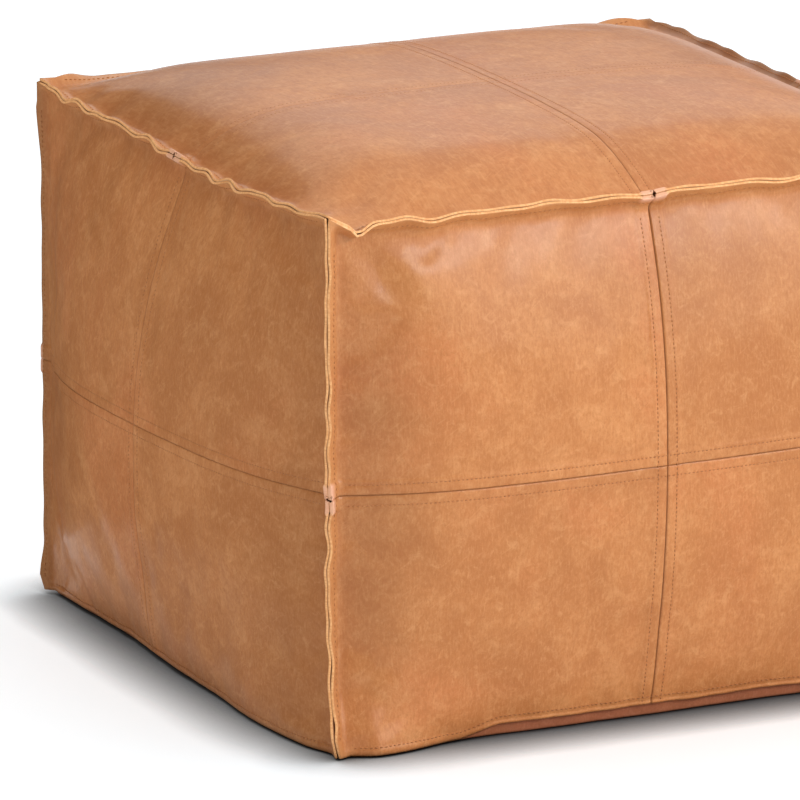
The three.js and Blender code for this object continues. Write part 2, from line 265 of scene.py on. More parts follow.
CORNERS = ("front_right", "back_right", "back_left", "front_left")
CORNER_REACH = {"front_left": 8.0, "back_left": 4.5, "back_right": 2.5, "front_right": 6.0}
SIDES = ("front", "right", "back", "left")
FOOT_REACH = {"front_left": 2.6, "back_left": 3.0, "back_right": 5.0, "front_right": 6.0}
TURNS = {"front": ((1, 0), (0, -1)), "right": ((0, 1), (1, 0)), "back": ((-1, 0), (0, 1)),
         "left": ((0, -1), (-1, 0))}
NORMAL = {k: np.array([*TURNS[k][1], 0.0]) for k in SIDES}
ACROSS = {k: np.array([*TURNS[k][0], 0.0]) for k in SIDES}

TOP_SEAMS = {
    "front": dict(sag=5.2, wave=0.45, period=34.0, lean=6.0, swing=2.0,
                  dips=((-HALF + 11, 9.0, 5.2), (-HALF + 64, 12.0, 1.8)),
                  flops=((-HALF + 12, 11.0, 33.0),)),
    "right": dict(sag=0.6, wave=0.5, lean=6.0, wide=8.0),
    "back": dict(sag=2.6, wave=0.35, lean=41.0, swing=1.0, fade=32.0,
                 hollows=((-140.0, 55.0, -4.0), (165.0, 45.0, -2.6))),
    "left": dict(sag=2.0, wave=0.9, period=38.0, lean=12.0, swing=2.0, hollows=((55.0, 80.0, 5.0),)),
}
UPRIGHT_SEAMS = {
    "front_right": dict(wave=0.6, period=34.0, slide=-3.0, mouth=(-ABOVE + 22, 10.0, 1.6)),
    "back_right": dict(wave=0.6, period=34.0, slide=-4.0),
    "back_left": dict(wave=0.12, lean=42.0, swing=0.4, slide=-18.0, wide=9.0, trim=0.08, rough=0.1,
                      taper=12.0),
    "front_left": dict(wave=0.42, period=30.0, swing=2.0, slide=-8.0, taper=18.0,
                       mouth=(-ABOVE + 17, 5.0, 1.1), flops=((-ABOVE + 20, 45.0, -8.0),),
                       kick=(-2.5, -13.0)),
}


def make_edges():
    edges = {}
    for k, side in enumerate(SIDES):
        before, after = CORNERS[k - 1], CORNERS[k]
        start = NORMAL[side] * HALF + UP * TOP
        edges["top", side] = Edge(
            k, start, ACROSS[side], -HALF, HALF, NORMAL[side], UP,
            (CORNER_REACH[before], CORNER_REACH[after]), **TOP_SEAMS[side])
        following = SIDES[(k + 1) % 4]
        start = NORMAL[side] * HALF + ACROSS[side] * HALF + UP * MIDDLE
        edges["upright", after] = Edge(
            k + 10, start, UP, -MIDDLE, ABOVE, NORMAL[side], NORMAL[following],
            (FOOT_REACH[after], CORNER_REACH[after]), **UPRIGHT_SEAMS[after])
    return edges


EDGES = make_edges()

# ---- creases in the leather: (u, v, direction in degrees, half length, half width, height) ----
NAMED_CREASES = {
    "top": ((-125.0, 23.0, -54.0, 75.0, 3.2, 0.55), (-HALF + 40, -HALF + 42, 45.0, 45.0, 12.0, -1.6)),
    "front": ((-HALF + 26, ABOVE - 20, -52.0, 26.0, 9.0, -2.6),
              (-HALF + 52, ABOVE - 26, -35.0, 40.0, 12.0, 1.0)),
    "left": ((-HALF + 46, 60.0, 84.0, 110.0, 8.0, 0.8), (-HALF + 30, 40.0, 88.0, 110.0, 7.0, -0.8)),
}


def random_creases(seed, half_u, low, high):
    """Soft folds that run from each corner towards the middle, and a few shallow ones elsewhere."""
    rng = np.random.default_rng(SEED + 50 + seed)
    found = []
    for su in (-1, 1):
        for v_end in (low, high):
            for _ in range(5):
                way = math.degrees(math.atan2(-0.75 * v_end, -su * half_u)) + rng.uniform(-34, 34)
                reach = rng.uniform(30, 75)
                length = rng.uniform(22, 48)
                u = su * half_u + math.cos(math.radians(way)) * reach
                v = v_end + math.sin(math.radians(way)) * reach
                found.append((u, v, way, length, rng.uniform(5, 10), rng.uniform(-0.75, 0.6)))
    for _ in range(14):
        u = rng.uniform(-0.85, 0.85) * half_u
        v = rng.uniform(0.85 * low, 0.85 * high)
        found.append((u, v, rng.uniform(40, 140), rng.uniform(35, 80), rng.uniform(7, 14),
                      rng.uniform(-0.55, 0.5)))
    return tuple(found)


SEAM_SLANT = {"left": -44.0}
# Where the full cover spreads over the floor: (place along the side, half width, outwards).
FOOT_SPREAD = {"front": ((-185.0, 45.0, 12.0), (-90.0, 60.0, 6.0), (0.0, 60.0, 4.0)),
               "left": ((165.0, 60.0, 13.0), (55.0, 80.0, 9.0)),
               "right": ((0.0, 120.0, 4.0),), "back": ((0.0, 120.0, 4.0),)}
# How clearly the upright (or front to back) seam and the level seam of each face show.
SEAM_SHOW = {"top": (0.45, 0.06), "front": (1.0, 0.8), "right": (0.9, 0.6), "back": (0.9, 0.6),
             "left": (0.4, 0.5)}


class Face:
    """One side of the box: its own directions, how it swells, and what edges it."""

    def __init__(self, name, across, up, normal, centre, half_u, low, high, rise, powers, edges):
        self.name, self.across, self.up, self.normal, self.centre = name, across, up, normal, centre
        self.half_u, self.low, self.high, self.rise, self.powers = half_u, low, high, rise, powers
        self.edges = edges
        seed = ("top", *SIDES).index(name)
        self.creases = NAMED_CREASES.get(name, ()) + random_creases(seed, half_u, low, high)
        self.swell = None
        self.slant = SEAM_SLANT.get(name, 0.0)
        self.spread = FOOT_SPREAD.get(name, ())
        self.show = SEAM_SHOW[name]

    def pillow(self, u, v):
        left, right, below, above = self.powers
        fall_u = 1 - np.minimum(1, np.abs(u) / self.half_u) ** np.where(u < 0, left, right)
        share = np.where(v < 0, v / self.low, v / self.high)
        fall_v = 1 - np.minimum(1, np.abs(share)) ** np.where(v < 0, below, above)
        return self.rise * fall_u * fall_v

    def simulated(self, u, v):
        """What the cloth simulation adds to the plain pillow shape, read off its lattice."""
        if self.swell is None:
            return 0.0
        rows, cols = self.swell.shape
        x = np.clip((u / self.half_u + 1) / 2, 0, 1) * (rows - 1)
        y = np.clip((v - self.low) / (self.high - self.low), 0, 1) * (cols - 1)
        return bicubic(self.swell, x, y)

    def foot(self, u, v):
        total = 0.0
        for place, width, outwards in self.spread:
            total = total + outwards * bump(u, place, width)
        return total * smooth((self.half_u - np.abs(u)) / 25.0) * (1 - smooth((v - self.low) / FOOT_RISE))

    def relief(self, u, v):
        return seam_relief(u, v, *self.show)

    def creased(self, u, v):
        total = 0.0
        for cu, cv, way, length, width, height in self.creases:
            c, s = math.cos(math.radians(way)), math.sin(math.radians(way))
            run = (u - cu) * c + (v - cv) * s
            off = (v - cv) * c - (u - cu) * s
            total = total + height * np.exp(-((run / length) ** 2) - (off / width) ** 2)
        return total

    def warped(self, u, v):
        """Where face coordinates lie: the crossing seams slide and slant a little on some faces."""
        if self.name == "top":
            return u, v
        left, right = self.edges["u-"][0].slide, self.edges["u+"][0].slide
        across = (np.clip(u / self.half_u, -1, 1) + 1) / 2
        lifted = v + (left + (right - left) * across) * slide_share(v, self.low, self.high)
        down = (self.high - v) / (self.high - self.low)
        return u + self.slant * down * slide_share(u, -self.half_u, self.half_u), lifted

    def edge_terms(self, u, v):
        """Each seam round this face with the distance to it and the place along it."""
        for side, (edge, sign) in self.edges.items():
            if edge is None:
                continue
            if side[0] == "u":
                distance = self.half_u - u * (1 if side[1] == "+" else -1)
                yield edge, distance, sign * v
            else:
                distance = self.high - v if side[1] == "+" else v - self.low
                yield edge, distance, sign * u

    def surface(self, u, v):
        """The grain side of the leather at face coordinates u, v."""
        u, v = np.broadcast_arrays(np.asarray(u, float), np.asarray(v, float))
        at_u, at_v = self.warped(u, v)
        out = self.pillow(at_u, at_v) + self.simulated(at_u, at_v) + self.foot(u, v)
        away = 1.0
        shift = np.zeros(u.shape + (3,))
        for edge, distance, s in self.edge_terms(u, v):
            near = np.maximum(distance, 0)
            shift += (1 - smooth(near / edge.fade))[..., None] * edge.broad(s)
            shift += (1 - smooth(near / LOCAL_REACH))[..., None] * edge.local(s)
            shift += (1 - smooth(near / BROAD_REACH))[..., None] * edge.kicked(s)
            pucker = edge.pucker(s) * edge.calm(s, CALM["pucker"])
            out = out + pucker * np.exp(-near / PUCKER_REACH) * smooth(near / PUCKER_RISE)
            away = away * smooth(near / CREASE_ROOM)
        out = out + self.creased(u, v) * away
        out = out + self.relief(u, v)
        return (self.centre + at_u[..., None] * self.across + at_v[..., None] * self.up
                + out[..., None] * self.normal + shift)

    def normal_at(self, u, v, step=0.6):
        du = self.surface(u + step, v) - self.surface(u - step, v)
        dv = self.surface(u, v + step) - self.surface(u, v - step)
        return unit(np.cross(du, dv))


def bicubic(grid, x, y):
    """Catmull-Rom reading of a grid at fractional rows x and columns y."""
    def weights(f):
        return (0.5 * (-f + 2 * f**2 - f**3), 0.5 * (2 - 5 * f**2 + 3 * f**3),
                0.5 * (f + 4 * f**2 - 3 * f**3), 0.5 * (f**3 - f**2))
    rows, cols = grid.shape
    i = np.clip(np.floor(x).astype(int), 0, rows - 2)
    j = np.clip(np.floor(y).astype(int), 0, cols - 2)
    wx, wy = weights(x - i), weights(y - j)
    total = 0.0
    for a in range(4):
        for b in range(4):
            ia = np.clip(i + a - 1, 0, rows - 1)
            jb = np.clip(j + b - 1, 0, cols - 1)
            total = total + wx[a] * wy[b] * grid[ia, jb]
    return total


def seam_relief(u, v, show_u, show_v):
    """The two panel seams that cross on a face: a groove between two ridges in a shallow valley."""
    def one(d, show):
        d = np.abs(d)
        soft = VALLEY[0] * bump(d, 0, VALLEY[1]) + RIDGE_HEIGHT * smooth((RIDGE_EDGE - d) / RIDGE_SLOPE)
        groove = sum(height * bump(d, 0, width) for height, width in GROOVES)
        rows = ROW_DENT[0] * bump(d, STITCH_ROW, ROW_DENT[1])
        return show * (soft + groove) + min(1.0, ROW_BOOST * show) * rows

    a, b = one(u, show_u), one(v, show_v)
    return np.where((a < 0) & (b < 0), -np.hypot(a, b), a + b)


FACE_POWERS = {"front": (4.6, 4.0, 2.5, 2.5), "right": (3.6, 3.4, 2.5, 2.5),
               "back": (3.4, 3.6, 2.5, 2.5), "left": (3.0, 3.0, 2.5, 2.2),
               "top": (8.0, 6.5, 4.4, 5.4)}


def make_faces():
    made = {}
    for k, side in enumerate(SIDES):
        edges = {"u+": (EDGES["upright", CORNERS[k]], 1), "u-": (EDGES["upright", CORNERS[k - 1]], 1),
                 "v+": (EDGES["top", side], 1), "v-": (None, 1)}
        made[side] = Face(side, ACROSS[side], UP, NORMAL[side], NORMAL[side] * HALF + UP * MIDDLE,
                          HALF, -MIDDLE, ABOVE, SIDE_RISE, FACE_POWERS[side], edges)
    edges = {"v-": (EDGES["top", "front"], 1), "u+": (EDGES["top", "right"], 1),
             "v+": (EDGES["top", "back"], -1), "u-": (EDGES["top", "left"], -1)}
    made["top"] = Face("top", ACROSS["front"], ACROSS["right"], UP, UP * TOP, HALF, -HALF, HALF,
                       CROWN, FACE_POWERS["top"], edges)
    return made


FACES = make_faces()

# ---- the swell of the stuffed cover, by cloth simulation ----
LATTICE = 50
LATTICE_UP = 38
SIM_FRAMES = 20
SIM_START = 0.72
SIM_GROW = -0.012
CLOTH = dict(quality=6, mass=0.3, tension_stiffness=40, compression_stiffness=40, shear_stiffness=10,
             bending_stiffness=5.0, tension_damping=10, compression_damping=10, air_damping=5,
             use_pressure=True, uniform_pressure_force=4.0, vertex_group_mass="seams",
             shrink_min=SIM_GROW, shrink_max=SIM_GROW)
SWELL_CAP = 5.0
SWELL_SHARE = {"top": 0.3, "front": 0.6, "right": 0.7, "back": 0.7, "left": 0.6}


def lattice_point(i, j, k):
    """A point of the box lattice, with part of the pillow shape already on it."""
    x = (2 * i / LATTICE - 1) * HALF
    y = (2 * j / LATTICE - 1) * HALF
    z = k / LATTICE_UP * TOP
    p = np.array([x, y, z])
    for side in SIDES:
        if abs(p @ NORMAL[side] - HALF) < 1e-6:
            u, v = p @ ACROSS[side], z - MIDDLE
            p = p + NORMAL[side] * SIM_START * float(FACES[side].pillow(np.float64(u), np.float64(v)))
    if k == LATTICE_UP:
        p = p + UP * SIM_START * float(FACES["top"].pillow(np.float64(x), np.float64(y)))
    return p


def box_lattice():
    """The vertices, quads and index of a closed box lattice."""
    n, m = LATTICE, LATTICE_UP
    index, points, quads = {}, [], []

    def at(i, j, k):
        if (i, j, k) not in index:
            index[i, j, k] = len(points)
            points.append(lattice_point(i, j, k))
        return index[i, j, k]

    for a in range(n):
        for b in range(n):
            quads.append((at(a, b, m), at(a + 1, b, m), at(a + 1, b + 1, m), at(a, b + 1, m)))
            quads.append((at(a, b, 0), at(a, b + 1, 0), at(a + 1, b + 1, 0), at(a + 1, b, 0)))
        for k in range(m):
            quads.append((at(a, 0, k), at(a + 1, 0, k), at(a + 1, 0, k + 1), at(a, 0, k + 1)))
            quads.append((at(a, n, k), at(a, n, k + 1), at(a + 1, n, k + 1), at(a + 1, n, k)))
            quads.append((at(0, a, k), at(0, a, k + 1), at(0, a + 1, k + 1), at(0, a + 1, k)))
            quads.append((at(n, a, k), at(n, a + 1, k), at(n, a + 1, k + 1), at(n, a, k + 1)))
    return np.array(points), quads, index


def is_seam(i, j, k):
    ends = (i in (0, LATTICE)) + (j in (0, LATTICE)) + (k in (0, LATTICE_UP))
    return ends >= 2 or k == 0


def inflate():
    """Blows the cover up inside its seams, and keeps what each face gained over the pillow shape."""
    points, quads, index = box_lattice()
    mesh = bpy.data.meshes.new("cover_sim")
    mesh.from_pydata((points * MM).tolist(), [], quads)
    cover = bpy.data.objects.new("cover_sim", mesh)
    bpy.context.scene.collection.objects.link(cover)
    pins = cover.vertex_groups.new(name="seams")
    pins.add([n for key, n in index.items() if is_seam(*key)], 1.0, "REPLACE")
    cloth = cover.modifiers.new("cloth", "CLOTH").settings
    for key, value in CLOTH.items():
        setattr(cloth, key, value)
    cloth.effector_weights.gravity = 0
    for step in range(1, SIM_FRAMES + 1):
        bpy.context.scene.frame_set(step)
    blown = cover.evaluated_get(bpy.context.evaluated_depsgraph_get())
    result = np.array([v.co for v in blown.data.vertices]) / MM
    bpy.data.objects.remove(cover)
    bpy.context.scene.frame_set(1)
    keep_swell(result, index)


def keep_swell(result, index):
    n, m = LATTICE, LATTICE_UP
    cells = {"front": lambda a, k: (a, 0, k), "right": lambda a, k: (n, a, k),
             "back": lambda a, k: (n - a, n, k), "left": lambda a, k: (0, n - a, k),
             "top": lambda a, k: (a, k, m)}
    for name, cell in cells.items():
        face = FACES[name]
        up_count = n if name == "top" else m
        got = np.array([[result[index[cell(a, k)]] for k in range(up_count + 1)] for a in range(n + 1)])
        out = (got - face.centre) @ face.normal
        u = (2 * np.arange(n + 1) / n - 1)[:, None] * face.half_u
        v = face.low + (face.high - face.low) * np.arange(up_count + 1)[None, :] / up_count
        plain = face.pillow(*np.broadcast_arrays(u, v))
        extra = out * face.rise / out[n // 2, up_count // 2] - plain
        face.swell = SWELL_SHARE[name] * SWELL_CAP * np.tanh(extra / SWELL_CAP)


inflate()


# ---- meshes ----
MATERIALS = {}


def add_mesh(name, points, faces, material, body, nodes=(), marks=None):
    """Makes one piece: the mesh, its marks for the shader, its material and what it rides on."""
    mesh = bpy.data.meshes.new(name)
    mesh.from_pydata((np.asarray(points) * MM).tolist(), [], faces)
    mesh.update()
    mesh.shade_smooth()
    for key, values in (marks or {}).items():
        kind = "FLOAT" if np.ndim(values) == 1 else "FLOAT_VECTOR"
        layer = mesh.attributes.new(key, kind, "POINT")
        layer.data.foreach_set("value" if kind == "FLOAT" else "vector",
                               np.asarray(values, np.float32).ravel())
    piece = bpy.data.objects.new(name, mesh)
    bpy.context.scene.collection.objects.link(piece)
    mesh.materials.append(MATERIALS[material])
    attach(piece, body)
    if nodes:
        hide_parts(*nodes)
    return piece


def slab(outer, inner, flip, push=0.2, marks=None):
    """A closed sheet between two grids, with a soft rim. Marks hold (outer, inner, rim) values."""
    rows, cols = outer.shape[:2]
    count = rows * cols
    grid = np.arange(count).reshape(rows, cols)
    ij = ([(i, 0) for i in range(rows)] + [(rows - 1, j) for j in range(1, cols)]
          + [(i, cols - 1) for i in range(rows - 2, -1, -1)] + [(0, j) for j in range(cols - 2, 0, -1)])
    ring = np.array([grid[i, j] for i, j in ij])
    inside = np.array([grid[min(max(i, 1), rows - 2), min(max(j, 1), cols - 2)] for i, j in ij])
    o, n = outer.reshape(-1, 3), inner.reshape(-1, 3)
    through = n[ring] - o[ring]
    away = (o[ring] - o[inside]) + (n[ring] - n[inside])
    away = unit(away - unit(through) * (away * unit(through)).sum(-1, keepdims=True))
    rims = [o[ring] + through * share + away * push for share in (0.14, 0.86)]
    points = np.concatenate([o, n, *rims])
    a, b, c, d = grid[:-1, :-1], grid[1:, :-1], grid[1:, 1:], grid[:-1, 1:]
    upper = np.stack([a, b, c, d], -1).reshape(-1, 4)
    lower = upper[:, ::-1] + count
    loops = [ring, 2 * count + np.arange(len(ring)), 2 * count + len(ring) + np.arange(len(ring)),
             ring + count]
    rim = [np.stack([p, q, np.roll(q, -1), np.roll(p, -1)], -1) for p, q in zip(loops, loops[1:])]
    faces = np.concatenate([upper, lower, *rim])
    if flip:
        faces = faces[:, ::-1]
    values = {}
    for key, (on_outer, on_inner, on_rim) in (marks or {}).items():
        if np.ndim(on_outer) == 3:
            flat = on_outer.reshape(-1, 3)
            values[key] = np.concatenate([flat, flat, flat[ring], flat[ring]])
            continue
        flat = np.broadcast_to(on_outer, (rows, cols)).reshape(-1)
        back = np.broadcast_to(on_inner, (rows, cols)).reshape(-1)
        edge = flat[ring] if on_rim is None else np.full(len(ring), float(on_rim))
        values[key] = np.concatenate([flat, back, edge, edge])
    return points, faces.tolist(), values


def grid_normals(points, flip):
    du = np.gradient(points, axis=0)
    dv = np.gradient(points, axis=1)
    return unit(np.cross(du, dv)) * (-1 if flip else 1)


# ---- the twenty leather panels ----
# Painted shade on the hide: darker patches where less light reaches, towards the far left corner and on
# lips that stand in shadow. A negative value paints a lighter patch, painted light. (u, v, half width, half
# height, how dark) on each face.
PAINTED_SHADE_AND_LIGHT = {
    "top": ((-165.0, 125.0, 75.0, 80.0, 6.5), (-205.0, 20.0, 35.0, 120.0, 3.0),
            (234.0, 0.0, 9.0, 600.0, 17.0), (-100.0, -170.0, 150.0, 40.0, -1.5)),
    "left": ((-215.0, -80.0, 62.0, 170.0, 3.5), (205.0, -60.0, 36.0, 200.0, 3.0),
             (-238.0, 0.0, 11.0, 600.0, 14.0), (-170.0, 110.0, 70.0, 60.0, 2.5),
             (20.0, -30.0, 110.0, 70.0, -2.0)),
    "front": ((-208.0, 20.0, 34.0, 230.0, 5.5), (-60.0, -178.0, 240.0, 34.0, -3.0),
              (40.0, 125.0, 260.0, 52.0, 3.5)),
}
PANEL_TONE = 0.8
SEAM_DARK = 0.6
GRAIN_SIZE = {"top": 0.6}


def tone_and_shade_at(face, u, v, panel):
    """Small steps from the plain hide, lighter or darker: one random tone per panel, and the painted shade
    and painted light patches.
    """
    tone = np.full(np.broadcast(u, v).shape, PANEL_TONE * panel)
    for at_u, at_v, half_width, half_height, dark in PAINTED_SHADE_AND_LIGHT.get(face.name, ()):
        tone = tone - dark * bump(u, at_u, half_width) * bump(v, at_v, half_height)
    return tone


HEM_FULL = {"front": 9.0, "right": 8.5, "back": 8.0, "left": 3.6}
HEM_LOW = 1.2
HEM_STEP_AT = -128.0
HEM_STEP_WIDTH = 34.0
HEM_WAVES = {side: Ripple(700 + k, 60.0, 0.45) for k, side in enumerate(SIDES)}


def hem_height(side, u):
    """Height of the leather's lower edge above the floor."""
    z = HEM_FULL[side] + HEM_WAVES[side](u) * smooth((HALF - np.abs(u)) / 40)
    if side == "front":
        z = HEM_LOW + (z - HEM_LOW) * smooth((u - HEM_STEP_AT) / HEM_STEP_WIDTH + 0.5)
    if side == "left":
        z = z + (HEM_LOW - z) * smooth((u - 20) / 130)
    return np.maximum(z, 0.9)


def stations(length):
    """Distances from the panel seam, with the drop into the groove at the first ones."""
    start, steps = NEAR_SEAM[-1], round((length - EDGE_START - NEAR_SEAM[-1]) / FACE_STEP)
    far = start + (length - EDGE_START - start) * np.arange(1, steps + 1) / steps
    places = np.concatenate([[GROOVE_GAP] * len(WALL_DROPS), NEAR_SEAM, far])
    drops = np.zeros(len(places))
    drops[: len(WALL_DROPS)] = WALL_DROPS
    return places, drops


def bezier(p0, p1, p2, p3, share):
    return ((1 - share) ** 3 * p0 + 3 * (1 - share) ** 2 * share * p1
            + 3 * (1 - share) * share**2 * p2 + share**3 * p3)


def lip_profile(face, side, s, drop):
    """The panel's grain side from near a seam to its raw tip, at places s along the seam."""
    edge, sign = face.edges[side]
    out = 1 if side[1] == "+" else -1
    limit = (face.half_u if side[0] == "u" else (face.high if out > 0 else -face.low)) * out
    across_u = side[0] == "u"

    def on_face(inset):
        place = limit - out * inset
        point = face.surface(place, s) if across_u else face.surface(s, place)
        return point - drop[:, None] * face.normal

    first = edge.n1 is face.normal
    along = s * sign
    start = on_face(EDGE_START)
    way = unit(on_face(EDGE_START - 0.5) - on_face(EDGE_START + 0.5))
    thick = thickness_at(along) - 0.5 * bump(along, 0, 0.8) - 0.12 * drop
    share = LIP_START / edge.width_at(along, first)
    base = edge.layer(along, share, first, thick)
    lip_way = unit(edge.layer(along, share + 0.05, first, thick) - base)
    pull = 0.42 * np.linalg.norm(base - start, axis=-1, keepdims=True)
    rows = [bezier(start, start + way * pull, base - lip_way * pull, base, b / FILLET_STEPS)
            for b in range(1, FILLET_STEPS + 1)]
    for b in range(1, LIP_STEPS + 1):
        rows.append(edge.layer(along, share + (1 - share) * b / LIP_STEPS, first, thick))
    return np.array(rows)


def hem_profile(face, u, drop):
    """The panel's grain side from near the hem to its folded lower edge."""
    end = hem_height(face.name, u) - MIDDLE
    begin = face.low + EDGE_START + HEM_FULL["front"]
    rows = []
    for b in range(1, PROFILE + 1):
        share = b / PROFILE
        v = begin + (end - begin) * share
        fold = 0.7 * smooth((share - 0.55) / 0.2) - 0.9 * smooth((share - 0.9) / 0.1)
        rows.append(face.surface(u, v) + face.normal * fold - drop[:, None] * face.normal)
    return np.array(rows)


def corner_tip(face, su, sv):
    """Where the lips of the two seams at a panel's outer corner meet."""
    normals = [face.across * su, face.up * sv, face.normal]
    corner = face.centre + face.across * su * face.half_u + face.up * (face.high if sv > 0 else face.low)
    k = CORNERS.index(nearest_corner(corner))
    reach = CORNER_REACH[CORNERS[k]]
    return corner + reach * sum(normals) + face.normal * (LEATHER + 0.4) * 1.2


def nearest_corner(point):
    return min(CORNERS, key=lambda c: np.linalg.norm(
        point[:2] - EDGES["upright", c].start[:2]))


def foot_tip(face, su):
    """Where an upright lip ends, at the lower corner of a panel."""
    edge, _ = face.edges["u+" if su > 0 else "u-"]
    s = np.array([hem_height(face.name, np.array(su * face.half_u)) - MIDDLE])
    thick = np.array([LEATHER])
    return edge.layer(s, 0.96, edge.n1 is face.normal, thick)[0]


def coons(first, second, tip):
    """Fills a panel's outer corner between its two edge profiles and the tip."""
    c1 = np.concatenate([first[0][None], first[1]])
    c2 = np.concatenate([second[0][None], second[1]])
    n = PROFILE
    share = np.arange(n + 1) / n
    c1_far = c2[-1] + (tip - c2[-1]) * share[:, None]
    c2_far = c1[-1] + (tip - c1[-1]) * share[:, None]
    a, b = share[:, None, None], share[None, :, None]
    patch = ((1 - b) * c1[:, None] + b * c1_far[:, None] + (1 - a) * c2[None] + a * c2_far[None]
             - (1 - a) * (1 - b) * c1[0] - a * (1 - b) * c1[-1] - (1 - a) * b * c2[-1] - a * b * tip)
    return patch[1:, 1:]


def panel_name(face, su, sv):
    across = "right" if su > 0 else "left"
    if face.name == "top":
        return f"top_panel_{'back' if sv > 0 else 'front'}_{across}"
    return f"{face.name}_panel_{'upper' if sv > 0 else 'lower'}_{across}"


def make_panel(face, su, sv, number):
    """One quarter of a face: grain side, flesh side and raw or folded rims."""
    hemmed = face.name != "top" and sv < 0
    du, drop_u = stations(face.half_u)
    length_v = face.high if sv > 0 else (-face.low - (HEM_FULL["front"] if hemmed else 0))
    dv, drop_v = stations(length_v)
    u, v = su * du, sv * dv
    nu, nv = len(u), len(v)
    points = np.zeros((nu + PROFILE, nv + PROFILE, 3))
    points[:nu, :nv] = (face.surface(u[:, None], v[None, :])
                        - (drop_u[:, None] + drop_v[None, :])[..., None] * face.normal)
    side_u = "u+" if su > 0 else "u-"
    side_v = "v+" if sv > 0 else "v-"
    points[nu:, :nv] = lip_profile(face, side_u, v, drop_v)
    upper = hem_profile(face, u, drop_u) if hemmed else lip_profile(face, side_v, u, drop_u)
    points[:nu, nv:] = upper.transpose(1, 0, 2)
    tip = foot_tip(face, su) if hemmed else corner_tip(face, su, sv)
    origin = points[nu - 1, nv - 1]
    points[nu:, nv:] = coons((origin, points[nu:, nv - 1]), (origin, points[nu - 1, nv:]), tip)

    flip = su * sv < 0
    normals = grid_normals(points, flip)
    lip_u = np.concatenate([np.zeros(nu), smooth((np.arange(PROFILE) - 2) / 4)])
    lip_v = np.concatenate([np.zeros(nv), smooth((np.arange(PROFILE) - 2) / 4) * (not hemmed)])
    du_all = np.concatenate([du, du[-1] + 1.6 * np.arange(1, PROFILE + 1)])
    dv_all = np.concatenate([dv, dv[-1] + 1.6 * np.arange(1, PROFILE + 1)])
    thick_u = 0.35 + (LEATHER - 0.35) * smooth(du_all / 4)
    thick_v = 0.35 + (LEATHER - 0.35) * smooth(dv_all / 4)
    thick = np.minimum(thick_u[:, None], thick_v[None, :])
    on_lip = np.maximum(lip_u[:, None], lip_v[None, :])
    fold = np.maximum(lip_u[:, None] * (thickness_at(dv_all)[None, :] / LEATHER - 1),
                      lip_v[None, :] * (thickness_at(du_all)[:, None] / LEATHER - 1))
    tip_u = np.concatenate([np.zeros(nu), smooth((np.arange(PROFILE) - 5) / 2)])
    tip_v = np.concatenate([np.zeros(nv), smooth((np.arange(PROFILE) - 5) / 2)])
    bared = np.clip(fold / 0.75, 0, 1) * np.maximum(tip_u[:, None], tip_v[None, :])
    thick = np.maximum(thick, LEATHER * on_lip) * (1 + fold)
    inner = points - normals * thick[..., None]

    rng = np.random.default_rng(SEED + 900 + number)
    offset = rng.uniform(-3, 3, 3)
    grain = MM * GRAIN_SIZE.get(face.name, 1.0)
    skin = np.stack(np.broadcast_arrays(su * du_all[:, None] * grain + offset[0],
                                        sv * dv_all[None, :] * grain + offset[1], offset[2]), -1)
    groove = np.maximum(face.show[0] * bump(du_all, 0, SEAM_DARK)[:, None],
                        face.show[1] * bump(dv_all, 0, SEAM_DARK)[None, :])
    marks = {
        "skin": (skin, None, None),
        "seam": (groove * (1 - 0.4 * on_lip), 1.0, 0.0),
        "lip": (on_lip, 0.0, None),
        "joint": (bared, 0.0, None),
        "cut": (0.0, 0.0, 1.0),
        "flesh": (0.0, 1.0, 0.0),
        # This mark carries each panel's own random tone plus the painted shade and painted light patches.
        "tone": (tone_and_shade_at(face, su * du_all[:, None], sv * dv_all[None, :], rng.uniform(-1, 1)), 0.0, None),
    }
    name = panel_name(face, su, sv)
    mesh_points, faces, values = slab(points, inner, flip, 0.22, marks)
    add_mesh("leather_" + name, mesh_points, faces, "leather", "cover", (name,), values)


# ---- thread ----
def capsules(points, normals, along, length, radius, lift=0.12, sides=6):
    """Small thread stitches: each one dips into the leather at both ends."""
    across = unit(np.cross(normals, along))
    shares = np.array([-0.5, -0.4, -0.2, 0.0, 0.2, 0.4, 0.5])
    fat = np.array([0.35, 0.8, 1.0, 1.05, 1.0, 0.8, 0.35]) * radius
    height = lift + radius * np.array([-1.6, -0.7, 0.15, 0.3, 0.15, -0.7, -1.6])
    turn = 2 * math.pi * np.arange(sides) / sides
    centre = (points[:, None] + along[:, None] * (shares * length)[None, :, None]
              + normals[:, None] * height[None, :, None])
    ring = (across[:, None, None] * np.cos(turn)[None, None, :, None]
            + normals[:, None, None] * np.sin(turn)[None, None, :, None])
    verts = centre[:, :, None] + ring * fat[None, :, None, None]
    count, rings = len(points), len(shares)
    index = np.arange(count * rings * sides).reshape(count, rings, sides)
    nxt = np.roll(index, -1, axis=2)
    quads = np.stack([index[:, :-1], index[:, 1:], nxt[:, 1:], nxt[:, :-1]], -1).reshape(-1, 4)
    faces = quads.tolist() + index[:, 0].tolist() + index[:, -1, ::-1].tolist()
    return verts.reshape(-1, 3), faces


